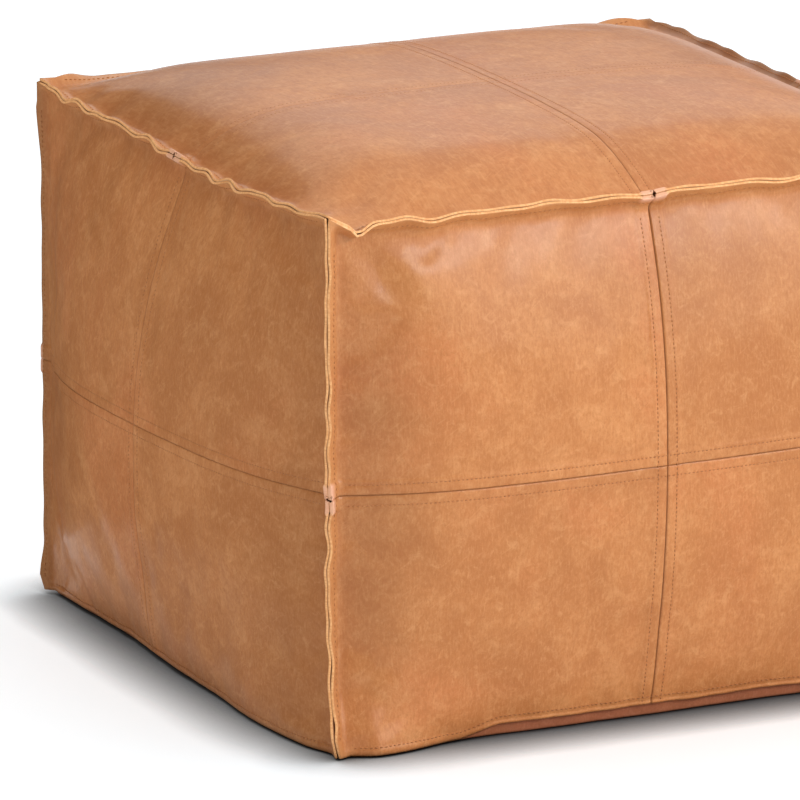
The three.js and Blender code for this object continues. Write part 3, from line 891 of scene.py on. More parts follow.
def along_rows(rows):
    """Joins several rows of stitches, each a (points, normals) pair, into one set of vertices and faces."""
    all_points, all_faces, base = [], [], 0
    for points, normals, pitch in rows:
        steps = np.linalg.norm(np.diff(points, axis=0), axis=1)
        run = np.concatenate([[0], np.cumsum(steps)])
        places = np.arange(0.5 * pitch, run[-1], pitch)
        at = np.stack([np.interp(places, run, points[:, a]) for a in range(3)], -1)
        nrm = unit(np.stack([np.interp(places, run, normals[:, a]) for a in range(3)], -1))
        ahead = np.stack([np.interp(places + 0.5, run, points[:, a]) for a in range(3)], -1)
        behind = np.stack([np.interp(places - 0.5, run, points[:, a]) for a in range(3)], -1)
        way = unit(ahead - behind)
        verts, faces = capsules(at, nrm, way, pitch * STITCH_LENGTH / STITCH_PITCH, THREAD)
        all_points.append(verts)
        all_faces += [[k + base for k in f] for f in faces]
        base += len(verts)
    return np.concatenate(all_points), all_faces


def row_on(face, u, v, pitch=STITCH_PITCH, show=1.0):
    """A row of stitches on a face. A seam that shows little holds its thread deeper."""
    u, v = np.broadcast_arrays(np.asarray(u, float), np.asarray(v, float))
    normals = face.normal_at(u, v)
    return face.surface(u, v) - normals * THREAD_SUNK * (1 - show), normals, pitch


def make_topstitching():
    """The double rows along each face's crossing seams, and the row above each hem."""
    for name, face in FACES.items():
        rows = []
        low = face.low + 8 if name == "top" else hem_height(name, np.zeros(1))[0] - MIDDLE + 2
        u = np.arange(-face.half_u + 8, face.half_u - 7.5, ROW_STEP)
        v = np.arange(low, face.high - 7.5, ROW_STEP)
        for sign in (-1, 1):
            rows.append(row_on(face, sign * STITCH_ROW, v, show=face.show[0]))
            rows.append(row_on(face, u, sign * STITCH_ROW, show=face.show[1]))
        points, faces = along_rows(rows)
        add_mesh(f"topstitch_{name}", points, faces, "thread", "cover")
        if name == "top":
            continue
        u = np.arange(-HALF + 9, HALF - 8, ROW_STEP)
        points, normals, pitch = row_on(face, u, hem_height(name, u) - MIDDLE + HEM_ROW, HEM_PITCH)
        points, faces = along_rows([(points + normals * 0.15, normals, pitch)])
        add_mesh(f"hem_stitch_{name}", points, faces, "thread", "cover")


def make_lip_stitching():
    """The row that closes each raw-edged seam, seen on both sides of its lip."""
    for key, edge in EDGES.items():
        rows = []
        s = np.arange(edge.low + 14, edge.high - 13, ROW_STEP)
        for first in (True, False):
            thick = thickness_at(s)
            _, across = edge.frame_at(s)
            share = LIP_ROW / edge.width_at(s, first)
            layer = edge.layer(s, share, first, thick - 0.05)
            rows.append((layer, across if first else -across, LIP_PITCH))
        points, faces = along_rows(rows)
        add_mesh(f"lip_stitch_{'_'.join(key)}", points, faces, "thread", "cover")


# ---- base: leather border, canvas, zip ----
BORDER_THICK = 1.4
BORDER_BEHIND = 2.2
BORDER_MITRE = 0.36
BORDER_REACH = 60.0
BORDER_HEIGHTS = (16.0, 12.0, 9.0, 6.5, 4.2, 2.4)
BORDER_BEND = 2.4
BORDER_SHARES = (0.05, 0.12, 0.22, 0.35, 0.5, 0.65, 0.8, 0.9, 0.96, 1.0)


def make_border(side):
    """The strip that stands behind a side's hem, folds under the edge and frames the base."""
    face = FACES[side]
    share = np.linspace(-1, 1, 101)
    wobble = Ripple(800 + SIDES.index(side), 45.0, 0.22)(share * HALF)

    def standing(z, drawn):
        """One row of the strip at height z, drawn in from the leather of this side and the next ones."""
        place = max(z, BORDER_BEND) - MIDDLE
        row = face.surface(share * HALF, place)
        inwards = drawn + face.relief(share * HALF, place) - 0.3 * wobble
        row = row - inwards[:, None] * face.normal - (share * (drawn + BORDER_MITRE))[:, None] * face.across
        row[:, 2] = z
        return row

    rows = [standing(z, BORDER_BEHIND) for z in BORDER_HEIGHTS]
    for angle in np.radians((22, 45, 68, 90)):
        rows.append(standing(BORDER_BEND * (1 - math.sin(angle)),
                             BORDER_BEHIND + BORDER_BEND * (1 - math.cos(angle))))
    last = rows[-1]
    inner_edge = (face.centre * [1, 1, 0] - BORDER_REACH * face.normal
                  + (share * (HALF - BORDER_REACH - BORDER_MITRE))[:, None] * face.across)
    for step in BORDER_SHARES:
        row = last + (inner_edge - last) * step
        row[:, 2] = np.maximum((0.25 + 0.25 * wobble) * math.sin(math.pi * step), 0)
        rows.append(row)
    outer = np.stack(rows, 1)
    mid = len(share) // 2
    bend_way = np.cross(outer[mid + 1, 8] - outer[mid, 8], outer[mid, 9] - outer[mid, 8])
    flip = bend_way[2] > 0
    inner = outer - grid_normals(outer, flip) * BORDER_THICK
    run = np.cumsum(np.r_[0, np.linalg.norm(np.diff(outer[mid], axis=0), axis=1)])
    skin = np.stack(np.broadcast_arrays(share[:, None] * HALF * MM + 5, run[None, :] * MM,
                                        SIDES.index(side) * 2.0), -1)
    marks = {"skin": (skin, None, None), "seam": (0.0, 0.0, 0.0), "lip": (0.0, 0.0, 0.0),
             "joint": (0.0, 0.0, 0.0), "cut": (0.0, 0.0, 0.6), "flesh": (0.0, 1.0, 0.0),
             "tone": (0.0, 0.0, 0.0)}
    points, faces, values = slab(outer, inner, flip, 0.15, marks)
    add_mesh(f"leather_border_{side}", points, faces, "border", "cover",
             (f"base_border_{side}",), values)
    stitch_u = np.arange(-HALF + BORDER_REACH + 8, HALF - BORDER_REACH - 8, ROW_STEP)
    line = (face.centre * [1, 1, 0] + stitch_u[:, None] * face.across
            + (HEM_ROW - BORDER_REACH) * face.normal + 0.3 * UP)
    points, faces = along_rows([(line, np.tile(-UP, (len(line), 1)), LIP_PITCH)])
    add_mesh(f"border_stitch_{side}", points, faces, "thread", "cover")


def make_canvas(name):
    """Half of the base: woven cotton, turned up and sewn along the zip."""
    low, high = box_mm(f"base_canvas_{name}")
    toward = 1.0 if name == "front" else -1.0
    zip_y = high[1] if name == "front" else low[1]
    far_y = low[1] if name == "front" else high[1]
    long_wave = Ripple(820 + int(toward), 90.0, 0.18)
    cross_wave = Ripple(830 + int(toward), 70.0, 0.5)
    x = np.linspace(low[0], high[0], 90)
    y = np.concatenate([np.linspace(far_y, zip_y - toward * 14, 34),
                        zip_y - toward * np.array([12.5, 12.0, 11, 9, 6, 3, 1.2, 0.3, 0.0])])
    hem = smooth((14 - np.abs(y - zip_y)) / 1.6)
    edge_fade = smooth(np.abs(y - far_y) / 40) * smooth(np.abs(y - zip_y) / 60)
    sag = (0.35 + long_wave(x)[:, None] + 0.25 * np.sin(cross_wave(y))[None, :]) * edge_fade[None, :]
    z = low[2] + 0.1 + np.maximum(sag, 0)
    lower = np.stack(np.broadcast_arrays(x[:, None], y[None, :], z), -1)
    upper = lower + UP * (0.75 + 0.75 * hem)[None, :, None]
    skin = lower * MM
    flip = y[1] > y[0]
    points, faces, values = slab(lower, upper, flip, 0.1, {"skin": (skin, None, None)})
    piece = add_mesh(f"canvas_{name}", points, faces, "canvas", "cover",
                     (f"base_canvas_{name}",), values)
    rows = []
    for inset in (2.2, 9.5):
        line = np.stack(np.broadcast_arrays(x, zip_y - toward * inset, low[2] + 0.12), -1)
        rows.append((line, np.tile(-UP, (len(line), 1)), CANVAS_PITCH))
    points, faces = along_rows(rows)
    add_mesh(f"canvas_stitch_{name}", points, faces, "cotton_thread", "cover")


def make_tape(name):
    low, high = box_mm(f"zip_tape_{name}")
    x = np.linspace(low[0], high[0], 160)
    y = np.linspace(low[1], high[1], 14)
    ripple = Ripple(850 + len(name), 30.0, 0.04)
    z = low[2] + 0.02 + np.abs(ripple(x))[:, None]
    lower = np.stack(np.broadcast_arrays(x[:, None], y[None, :], z), -1)
    upper = lower + UP * 0.38
    points, faces, values = slab(lower, upper, True, 0.05, {"skin": (lower * MM, None, None)})
    piece = add_mesh(f"tape_{name}", points, faces, "tape", "cover",
                     (f"zip_tape_{name}",), values)


def tube(path, radius, sides=6):
    """A closed tube along a path of points."""
    way = unit(np.gradient(path, axis=0))
    side = unit(np.cross(way, UP + 1e-3 * np.array([1.0, 0.3, 0])))
    over = np.cross(side, way)
    turn = 2 * math.pi * np.arange(sides) / sides
    rings = (path[:, None] + radius * (side[:, None] * np.cos(turn)[None, :, None]
                                       + over[:, None] * np.sin(turn)[None, :, None]))
    index = np.arange(len(path) * sides).reshape(len(path), sides)
    nxt = np.roll(index, -1, axis=1)
    faces = np.stack([index[:-1], nxt[:-1], nxt[1:], index[1:]], -1).reshape(-1, 4).tolist()
    faces += [index[0, ::-1].tolist(), index[-1].tolist()]
    return rings.reshape(-1, 3), faces


COIL_PITCH = 1.5
COIL_WIRE = 0.3


def make_coil(name):
    """One side of the zip: a nylon wire wound in flat loops, sewn to the tape."""
    low, high = box_mm(f"zip_coil_{name}")
    turns = int((high[0] - low[0] - 2 * COIL_WIRE) / COIL_PITCH)
    steps = 10
    angle = 2 * math.pi * np.arange(turns * steps + 1) / steps
    mid = (low + high) / 2
    room = (high - low) / 2 - COIL_WIRE - 0.02
    phase = 0.0 if name == "front" else math.pi
    x = low[0] + COIL_WIRE + 0.1 + COIL_PITCH * angle / (2 * math.pi)
    c, s = np.cos(angle + phase), np.sin(angle + phase)
    y = mid[1] + room[1] * np.sign(c) * np.abs(c) ** 0.7
    z = mid[2] + room[2] * np.sign(s) * np.abs(s) ** 0.8
    points, faces = tube(np.stack([x, y, z], -1), COIL_WIRE)
    add_mesh(f"coil_{name}", points, faces, "nylon", "cover", (f"zip_coil_{name}",))


# ---- inside: liner and stuffing ----
def inner_shell(inset, floor, top_drop, noise=None):
    """A closed stuffed shape that follows the cover from inside."""
    points, quads, index = box_lattice()
    result = np.zeros_like(points)
    for (i, j, k), n in index.items():
        x = (2 * i / LATTICE - 1) * HALF
        y = (2 * j / LATTICE - 1) * HALF
        z = k / LATTICE_UP * TOP
        p = np.array([x, y, z])
        shrink = (HALF - inset) / HALF
        q = np.array([x * shrink, y * shrink, floor + (TOP - top_drop - floor) * k / LATTICE_UP])
        for side in SIDES:
            if abs(p @ NORMAL[side] - HALF) < 1e-6:
                rise = FACES[side].pillow(np.float64(p @ ACROSS[side]), np.float64(z - MIDDLE))
                q = q + NORMAL[side] * 0.9 * float(rise)
        if k == LATTICE_UP:
            q = q + UP * 0.92 * float(FACES["top"].pillow(np.float64(x), np.float64(y)))
        result[n] = q
    if noise:
        centre = np.array([0, 0, MIDDLE])
        away = unit(result - centre)
        lump = noise[0](result[:, 0] + 3 * result[:, 2]) + noise[1](result[:, 1] - 2 * result[:, 2])
        result -= away * np.abs(lump)[:, None]
        result[:, 2] = np.maximum(result[:, 2], floor)
    return result, quads, index


LINER_THICK = 0.8
LINER_INSET = 10.0
LINER_DROP = 18.0
FILL_INSET = 13.0
FILL_DROP = 21.0
SLIT_HALF = 17


def make_inside():
    """The cotton liner, open along a slit over the zip, and the loose stuffing in it."""
    liner_floor = box_mm("inner_liner")[0][2]
    outer, quads, index = inner_shell(LINER_INSET, liner_floor + 0.1, LINER_DROP)
    centre = np.array([0, 0, MIDDLE])
    size = np.array([HALF - LINER_INSET, HALF - LINER_INSET, MIDDLE - liner_floor])
    inner = centre + (outer - centre) * (1 - LINER_THICK / size)
    mid = LATTICE // 2
    slit = {(index[i, mid, 0], index[i, mid + 1, 0]) for i in range(mid - SLIT_HALF, mid + SLIT_HALF)}
    cut = {q for q in range(len(quads)) if (quads[q][0], quads[q][1]) in slit}
    kept = [q for n, q in enumerate(quads) if n not in cut]
    count = len(outer)
    faces = kept + [tuple(k + count for k in reversed(q)) for q in kept]
    pairs = {(q[a], q[(a + 1) % 4]) for n in cut for q in [quads[n]] for a in range(4)}
    for a, b in pairs:
        if (b, a) not in pairs:
            faces.append((a, b, b + count, a + count))
    points = np.concatenate([outer, inner])
    liner = add_mesh("liner", points, faces, "cotton", "cover", ("inner_liner",),
                     {"skin": points * MM})
    noise = (Ripple(870, 55.0, 1.0), Ripple(871, 48.0, 1.0))
    points, quads, _ = inner_shell(FILL_INSET, box_mm("fill_core")[0][2] + 0.1, FILL_DROP, noise)
    filling = add_mesh("stuffing", points, quads, "stuffing", "cover", ("fill_core",),
                       {"skin": points * MM})


# ---- materials ----
class Shade:
    """A small helper that builds one Principled material out of nodes."""

    def __init__(self, name, **settings):
        self.material = bpy.data.materials.new(name)
        self.material.use_nodes = True
        self.tree = self.material.node_tree
        self.tree.nodes.clear()
        self.bsdf = self.node("ShaderNodeBsdfPrincipled")
        output = self.node("ShaderNodeOutputMaterial")
        self.tree.links.new(self.bsdf.outputs[0], output.inputs[0])
        for key, value in settings.items():
            self.bsdf.inputs[key.replace("_", " ")].default_value = value

    def node(self, kind, inputs=None, **settings):
        made = self.tree.nodes.new("ShaderNode" + kind if not kind.startswith("Shader") else kind)
        for key, value in settings.items():
            setattr(made, key, value)
        for key, value in (inputs or {}).items():
            self.feed(made.inputs[key], value)
        return made

    def feed(self, socket, value):
        if isinstance(value, bpy.types.NodeSocket):
            self.tree.links.new(value, socket)
        else:
            socket.default_value = value

    def mark(self, name, vector=False):
        made = self.node("Attribute", attribute_name=name)
        return made.outputs["Vector" if vector else "Fac"]

    def scaled(self, vector, scale):
        return self.node("VectorMath", {0: vector, 1: scale}, operation="MULTIPLY").outputs[0]

    def noise(self, vector, scale, detail=3.0, rough=0.55, distort=0.0):
        return self.node("TexNoise", {"Vector": vector, "Scale": scale, "Detail": detail,
                                      "Roughness": rough, "Distortion": distort}).outputs["Fac"]

    def cells(self, vector, scale, feature="F1", jitter=1.0):
        made = self.node("TexVoronoi", {"Vector": vector, "Scale": scale, "Randomness": jitter},
                         feature=feature)
        return made.outputs["Distance"]

    def span(self, value, low, high, to_low=0.0, to_high=1.0):
        made = self.node("MapRange", {"Value": value, "From Min": low, "From Max": high,
                                      "To Min": to_low, "To Max": to_high},
                         interpolation_type="SMOOTHSTEP")
        return made.outputs[0]

    def math(self, operation, a, b=0.0):
        return self.node("Math", {0: a, 1: b}, operation=operation).outputs[0]

    def mix(self, share, a, b, blend="MIX"):
        made = self.node("Mix", {0: share, 6: a, 7: b}, data_type="RGBA", blend_type=blend)
        return made.outputs[2]

    def bumped(self, height, strength, distance):
        return self.node("Bump", {"Height": height, "Strength": strength, "Distance": distance}).outputs[0]

    def finish(self, colour, rough, normal=None):
        self.feed(self.bsdf.inputs["Base Color"], colour)
        self.feed(self.bsdf.inputs["Roughness"], rough)
        if normal is not None:
            self.feed(self.bsdf.inputs["Normal"], normal)
        return self.material


def rgb(red, green, blue):
    return (red, green, blue, 1.0)


RAW_EDGE = (0.80, 0.37, 0.14)
RAW_EDGE_PALE = (0.92, 0.49, 0.21)
FLESH = (0.60, 0.31, 0.14)
FLESH_PALE = (0.78, 0.45, 0.23)
FOLDED = (0.80, 0.42, 0.28)
SEAM_SHADE = (0.16, 0.055, 0.018)


def leather(name, base, deep, pale, red):
    """Waxed full-grain leather: clouds, pulled-up scuffs, short scratches, pores and raw cut edges."""
    s = Shade(name, Specular_IOR_Level=0.08, Coat_Weight=0.36, Coat_Roughness=0.22)
    skin = s.mark("skin", vector=True)
    clouds = s.noise(skin, 15.0, 5.0, 0.66, 0.5)
    patches = s.noise(s.scaled(skin, (1.0, 0.8, 1.0)), 7.5, 3.0, 0.5, 0.6)
    blots = s.noise(s.scaled(skin, (1.0, 0.85, 1.0)), 42.0, 6.0, 0.72, 0.8)
    mottle = s.noise(skin, 105.0, 5.0, 0.72, 0.7)
    fibre = s.noise(s.scaled(skin, (1.0, 0.22, 1.0)), 850.0, 3.0, 0.65, 0.3)
    speckle = s.noise(s.scaled(skin, (1.0, 0.75, 1.0)), 360.0, 6.0, 0.78, 0.4)
    colour = s.mix(s.span(clouds, 0.36, 0.64, 0.22, 1.0), deep, base)
    # One layer of marks over another: (pattern, from, to, strength, tint).
    layers = ((patches, 0.48, 0.70, 0.45, red),
              (blots, 0.48, 0.68, 0.22, pale), (blots, 0.50, 0.34, 0.30, deep),
              (mottle, 0.50, 0.72, 0.36, pale), (mottle, 0.50, 0.30, 0.42, deep),
              (speckle, 0.50, 0.70, 0.24, pale), (speckle, 0.50, 0.34, 0.54, deep),
              (fibre, 0.45, 0.75, 0.24, pale), (fibre, 0.50, 0.25, 0.26, deep))
    for pattern, low, high, strength, tint in layers:
        colour = s.mix(s.math("MULTIPLY", s.span(pattern, low, high), strength), colour, tint)
    strokes = s.noise(s.scaled(skin, (1.0, 0.45, 1.0)), 300.0, 3.0, 0.62, 0.8)
    slanted = s.node("VectorRotate", {"Vector": skin, "Angle": 0.9}, rotation_type="Z_AXIS").outputs[0]
    scratches = s.noise(s.scaled(slanted, (1.0, 0.1, 1.0)), 560.0, 1.0, 0.5, 0.6)
    scuffed = s.math("MULTIPLY", s.span(strokes, 0.5, 0.72), s.span(clouds, 0.42, 0.62))
    colour = s.mix(s.math("MULTIPLY", scuffed, 0.3), colour, pale)
    dark = s.math("MULTIPLY", s.span(strokes, 0.46, 0.3), s.span(clouds, 0.62, 0.42))
    colour = s.mix(s.math("MULTIPLY", dark, 0.3), colour, deep)
    colour = s.mix(s.math("MULTIPLY", s.span(scratches, 0.66, 0.76), 0.16), colour, pale)
    # The panel tone and the painted shade and light patches scale the colour's value.
    tone = s.node("Math", {0: s.mark("tone"), 1: 0.035, 2: 1.0}, operation="MULTIPLY_ADD").outputs[0]
    toned = s.node("HueSaturation", {"Color": colour, "Value": tone}).outputs[0]
    toned = s.mix(s.math("MULTIPLY", s.mark("lip"), 0.22), toned, pale)
    toned = s.mix(s.math("MULTIPLY", s.mark("seam"), 0.62), toned, rgb(*SEAM_SHADE))
    fibres = s.noise(skin, 700.0, 2.0)
    raw = s.mix(s.span(fibres, 0.35, 0.65), rgb(*RAW_EDGE), rgb(*RAW_EDGE_PALE))
    suede = s.mix(fibres, rgb(*FLESH), rgb(*FLESH_PALE))
    toned = s.mix(s.mark("flesh"), toned, suede)
    # Painted shade: the raw cut edges darken further where the painted shade patches are deepest.
    shaded = s.span(s.mark("tone"), -13.0, -6.0, 0.35, 1.0)
    raw = s.node("HueSaturation", {"Color": raw, "Value": shaded}).outputs[0]
    toned = s.mix(s.mark("cut"), toned, raw)
    toned = s.mix(s.math("MULTIPLY", s.mark("joint"), 0.75), toned, rgb(*FOLDED))
    pores = s.cells(skin, 620.0)
    fine = s.math("MULTIPLY", s.noise(skin, 1500.0, 2.0), 0.4)
    grain = s.math("ADD", s.math("MULTIPLY", pores, 0.6), fine)
    lines = s.span(s.cells(s.scaled(skin, (1.0, 0.6, 1.0)), 120.0, "DISTANCE_TO_EDGE"), 0.0, 0.12)
    height = s.math("ADD", s.math("MULTIPLY", grain, 0.4), s.math("MULTIPLY", lines, 0.2))
    height = s.math("ADD", height, s.math("MULTIPLY", s.noise(skin, 55.0, 4.0, 0.6), 1.4))
    gloss = s.span(clouds, 0.3, 0.7, 0.44, 0.56)
    gloss = s.math("ADD", gloss, s.math("MULTIPLY", scuffed, 0.08))
    bare = s.math("MAXIMUM", s.mark("cut"), s.mark("flesh"))
    gloss = s.math("MAXIMUM", gloss, s.math("MULTIPLY", bare, 0.9))
    return s.finish(toned, gloss, s.bumped(height, 0.40, 0.0006))


def thread(name, light, dark):
    s = Shade(name, Specular_IOR_Level=0.35)
    where = s.node("TexCoord").outputs["Object"]
    twist = s.noise(where, 2600.0, 1.0)
    colour = s.mix(s.noise(where, 240.0, 3.0), light, dark)
    return s.finish(s.mix(s.math("MULTIPLY", twist, 0.4), colour, dark), 0.62,
                    s.bumped(twist, 0.5, 0.0002))


def woven(name, warp, weft, threads, bump_height, rough=0.85):
    """Plain weave from two crossed waves, with slubs and uneven dye."""
    s = Shade(name, Specular_IOR_Level=0.2, Sheen_Weight=0.15)
    skin = s.mark("skin", vector=True)
    drift = s.node("VectorMath", {0: skin, 1: s.node("VectorMath", {
        0: s.node("TexNoise", {"Vector": skin, "Scale": 60.0}).outputs["Color"],
        1: (0.0012, 0.0012, 0.0)}, operation="MULTIPLY").outputs[0]}, operation="ADD").outputs[0]
    parts = s.node("SeparateXYZ", {0: drift})
    rate = 2 * math.pi * threads
    wave_x = s.math("SINE", s.math("MULTIPLY", parts.outputs[0], rate))
    wave_y = s.math("SINE", s.math("MULTIPLY", parts.outputs[1], rate))
    over = s.math("MULTIPLY", wave_x, wave_y)
    weave = s.span(over, -1.0, 1.0)
    slub = s.noise(s.scaled(skin, (0.06, 1.0, 1.0)), 900.0, 2.0)
    colour = s.mix(weave, warp, weft)
    colour = s.mix(s.math("MULTIPLY", slub, 0.35), colour, warp)
    colour = s.mix(s.math("MULTIPLY", s.noise(skin, 14.0, 4.0), 0.3), colour, weft)
    return s.finish(colour, rough, s.bumped(s.math("ADD", weave, s.math("MULTIPLY", slub, 0.4)),
                                            0.6, bump_height))


def metal(name, bright, dull):
    s = Shade(name, Metallic=1.0)
    where = s.node("TexCoord").outputs["Object"]
    tarnish = s.noise(where, 420.0, 5.0, 0.6)
    brushed = s.noise(s.scaled(where, (0.1, 1.0, 1.0)), 5200.0, 2.0)
    colour = s.mix(s.span(tarnish, 0.4, 0.62), bright, dull)
    rough = s.math("ADD", s.span(tarnish, 0.35, 0.7, 0.24, 0.5), s.math("MULTIPLY", brushed, 0.08))
    return s.finish(colour, rough, s.bumped(brushed, 0.15, 0.0001))


def speckled(name, light, dark, scale, rough, height):
    s = Shade(name, Specular_IOR_Level=0.4)
    where = s.node("TexCoord").outputs["Object"]
    fine = s.noise(where, scale, 4.0, 0.6)
    return s.finish(s.mix(s.span(fine, 0.35, 0.68), light, dark), rough, s.bumped(fine, 0.4, height))


def make_materials():
    MATERIALS["leather"] = leather("pouf_leather", rgb(0.580, 0.222, 0.071), rgb(0.47, 0.165, 0.048),
                                   rgb(0.76, 0.37, 0.15), rgb(0.63, 0.20, 0.066))
    MATERIALS["border"] = leather("border_leather", rgb(0.56, 0.19, 0.090), rgb(0.46, 0.15, 0.065),
                                  rgb(0.68, 0.28, 0.15), rgb(0.58, 0.18, 0.10))
    MATERIALS["thread"] = thread("tan_thread", rgb(0.60, 0.25, 0.09), rgb(0.34, 0.12, 0.035))
    MATERIALS["cotton_thread"] = thread("cotton_thread", rgb(0.20, 0.15, 0.11), rgb(0.10, 0.075, 0.055))
    MATERIALS["canvas"] = woven("base_canvas", rgb(0.075, 0.05, 0.036), rgb(0.14, 0.10, 0.075),
                                620.0, 0.0005)
    MATERIALS["cotton"] = woven("liner_cotton", rgb(0.62, 0.58, 0.50), rgb(0.78, 0.74, 0.66),
                                900.0, 0.0003)
    MATERIALS["tape"] = woven("zip_tape", rgb(0.045, 0.03, 0.022), rgb(0.10, 0.07, 0.05),
                              1300.0, 0.0002)
    MATERIALS["nylon"] = speckled("zip_nylon", rgb(0.10, 0.07, 0.05), rgb(0.06, 0.04, 0.03),
                                  900.0, 0.35, 0.0001)
    MATERIALS["stuffing"] = speckled("stuffing_fibre", rgb(0.74, 0.72, 0.68), rgb(0.55, 0.53, 0.50),
                                     160.0, 0.95, 0.004)
    MATERIALS["metal"] = metal("antique_brass", rgb(0.62, 0.43, 0.19), rgb(0.24, 0.15, 0.07))


def finish_cad_nodes():
    """The metal parts of the zip keep their CAD shape and get a worn brass finish."""
    for name in ("zip_slider", "zip_pull", "zip_top_stop_front", "zip_top_stop_back", "zip_bottom_stop"):
        node = frame["nodes"][name]
        node.data.materials.clear()
        node.data.materials.append(MATERIALS["metal"])


# ---- studio, in metres ----
CAMERA_AT = (-3.802, -7.842, 2.340)
CAMERA_YAW = 25.45
CAMERA_PITCH = 14.02
CAMERA_LENS = 596.4
CAMERA_ROLL = 0.05
SKY_BRIGHT_SIDE = (0.10, 0.02, 0.995)
SKY_RANGE = (0.1, 1.0, 0.25, 1.20)
KEY = dict(azimuth=29.0, elevation=28.0, distance=2.6, size=(2.4, 0.42), power=34.5)
RIM = dict(azimuth=152.0, elevation=22.0, distance=3.2, size=(2.6, 1.1), power=7.0)
GLOSS = dict(azimuth=42.0, elevation=16.0, distance=2.6, size=(3.6, 1.2), power=46.0)
FLOOR_HALF = 40.0
FLOOR_DROP = 0.0004
FLOOR_GLOW = 0.35
# Plans of the folding screen and of the floor card that only reflections see.
FLAG_LINE = ((-0.16, 0.40), (-0.31, 0.30), (-0.42, -0.05), (-0.80, -0.30))
FLAG_HEIGHT = 0.7
FLAG_BLACK = 0.012
CARD_OUTLINE = ((-0.27, -0.30), (-0.27, 0.30), (-0.85, 0.45), (-0.85, -0.45))
CARD_LIFT = 0.003
CARD_GREY = 0.3
# The shade close under the pouf: how far it reaches, how fast it deepens, and its darkest grey.
CONTACT_REACH = 0.055
CONTACT_DEPTH = 2.4
CONTACT_SHADE = 0.03
# The paper leans cyan: painted colour that cancels the warm light the leather throws onto the floor.
FLOOR_PAPER = ((0.865, 0.94, 0.985), (0.885, 0.955, 0.995))


def make_camera():
    data = bpy.data.cameras.new("camera")
    data.lens = CAMERA_LENS
    data.sensor_width = 36.0
    data.clip_end = 100.0
    camera = bpy.data.objects.new("camera", data)
    camera.location = CAMERA_AT
    camera.rotation_euler = [math.radians(a) for a in (90 - CAMERA_PITCH, CAMERA_ROLL, -CAMERA_YAW)]
    bpy.context.scene.collection.objects.link(camera)
    bpy.context.scene.camera = camera


def softbox(name, azimuth, elevation, distance, size, power, aim=(0.0, 0.0, 0.2)):
    """A rectangular light that faces the pouf. Azimuth is to the right of the front."""
    a, e = math.radians(azimuth), math.radians(elevation)
    where = np.array(aim) + distance * np.array([math.sin(a) * math.cos(e), -math.cos(a) * math.cos(e),
                                                 math.sin(e)])
    data = bpy.data.lights.new(name, "AREA")
    data.shape = "RECTANGLE"
    data.size, data.size_y = size
    data.energy = power
    lamp = bpy.data.objects.new(name, data)
    lamp.location = where
    direction = Vector(aim) - Vector(where)
    lamp.rotation_euler = direction.to_track_quat("-Z", "Y").to_euler()
    lamp.visible_camera = False
    bpy.context.scene.collection.objects.link(lamp)
    return lamp


def reflected_only(name, points, faces, grey):
    """A matt card that nothing sees or is shaded by, except the shine on the leather."""
    mesh = bpy.data.meshes.new(name)
    mesh.from_pydata(points, [], faces)
    card = Shade(name, Specular_IOR_Level=0.0)
    mesh.materials.append(card.finish(rgb(grey, grey, grey), 1.0))
    stand = bpy.data.objects.new(name, mesh)
    stand.visible_camera = False
    stand.visible_diffuse = False
    stand.visible_shadow = False
    bpy.context.scene.collection.objects.link(stand)


def make_flags():
    """A black folding screen behind the left corner, and a grey card on the floor along that side."""
    count = len(FLAG_LINE)
    points = [(x, y, z) for z in (0.0, FLAG_HEIGHT) for x, y in FLAG_LINE]
    folds = [(k, k + 1, k + 1 + count, k + count) for k in range(count - 1)]
    reflected_only("black_flag", points, folds, FLAG_BLACK)
    card = [(x, y, CARD_LIFT) for x, y in CARD_OUTLINE]
    reflected_only("grey_card", card, [tuple(range(len(card)))], CARD_GREY)


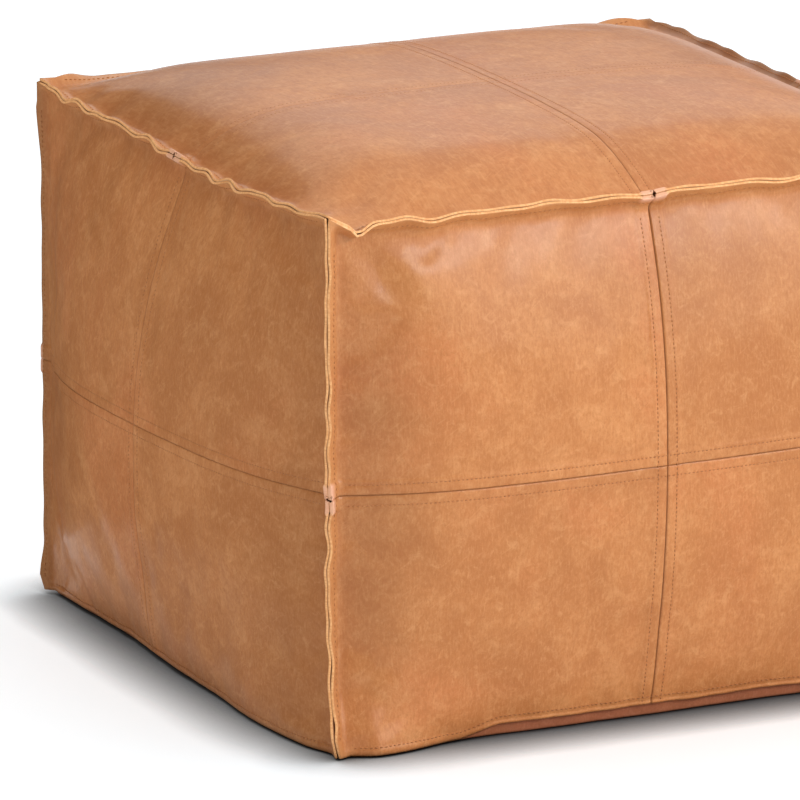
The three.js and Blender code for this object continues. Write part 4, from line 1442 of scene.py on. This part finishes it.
def make_studio():
    world = bpy.data.worlds.new("studio")
    bpy.context.scene.world = world
    world.use_nodes = True
    tree = world.node_tree
    sky = tree.nodes["Background"]
    sky.inputs[0].default_value = rgb(1.0, 1.0, 1.0)
    where = tree.nodes.new("ShaderNodeTexCoord").outputs["Generated"]
    facing = tree.nodes.new("ShaderNodeVectorMath")
    facing.operation = "DOT_PRODUCT"
    facing.inputs[1].default_value = SKY_BRIGHT_SIDE
    tree.links.new(where, facing.inputs[0])
    fade = tree.nodes.new("ShaderNodeMapRange")
    fade.interpolation_type = "SMOOTHSTEP"
    for socket, value in zip(("From Min", "From Max", "To Min", "To Max"), SKY_RANGE):
        fade.inputs[socket].default_value = value
    tree.links.new(facing.outputs["Value"], fade.inputs["Value"])
    tree.links.new(fade.outputs[0], sky.inputs[1])
    key = softbox("key", **KEY)
    rim = softbox("rim", **RIM)
    gloss = softbox("gloss", **GLOSS)
    gloss.visible_diffuse = False
    shone_on = bpy.data.collections.new("shone_on")
    for piece in list(bpy.data.objects):
        if piece.name.startswith("leather_front"):
            shone_on.objects.link(piece)
    gloss.light_linking.receiver_collection = shone_on
    mesh = bpy.data.meshes.new("floor")
    corners = [(x * FLOOR_HALF, y * FLOOR_HALF, 0) for x, y in ((-1, -1), (1, -1), (1, 1), (-1, 1))]
    mesh.from_pydata(corners, [], [(0, 1, 2, 3)])
    floor = bpy.data.objects.new("floor", mesh)
    floor.location.z = -FLOOR_DROP
    bpy.context.scene.collection.objects.link(floor)
    s = Shade("floor_paper", Specular_IOR_Level=0.0, Emission_Color=rgb(1.0, 1.0, 1.0))
    where = s.node("TexCoord").outputs["Object"]
    open_air = s.node("AmbientOcclusion", {"Distance": CONTACT_REACH}, samples=12).outputs["AO"]
    clear = s.math("POWER", open_air, CONTACT_DEPTH)
    s.feed(s.bsdf.inputs["Emission Strength"], s.math("MULTIPLY", clear, FLOOR_GLOW))
    paper = s.mix(s.noise(where, 30.0), rgb(*FLOOR_PAPER[0]), rgb(*FLOOR_PAPER[1]))
    paper = s.mix(clear, rgb(CONTACT_SHADE, CONTACT_SHADE, CONTACT_SHADE), paper)
    mesh.materials.append(s.finish(paper, 0.9))
    make_flags()
    flagged = bpy.data.collections.new("flagged_from_key")
    flagged.objects.link(floor)
    for lamp in (key, rim):
        lamp.light_linking.receiver_collection = flagged
    flagged.collection_objects[0].light_linking.link_state = "EXCLUDE"
    view = bpy.context.scene.view_settings
    view.view_transform = "Standard"
    view.look = "None"


make_camera()
make_materials()
quarters = [(face, su, sv) for face in FACES.values() for su in (-1, 1) for sv in (-1, 1)]
for number, (face, su, sv) in enumerate(quarters):
    make_panel(face, su, sv, number)
make_topstitching()
make_lip_stitching()
for side in SIDES:
    make_border(side)
for half_name in ("front", "back"):
    make_canvas(half_name)
    make_tape(half_name)
    make_coil(half_name)
make_inside()
finish_cad_nodes()
make_studio()
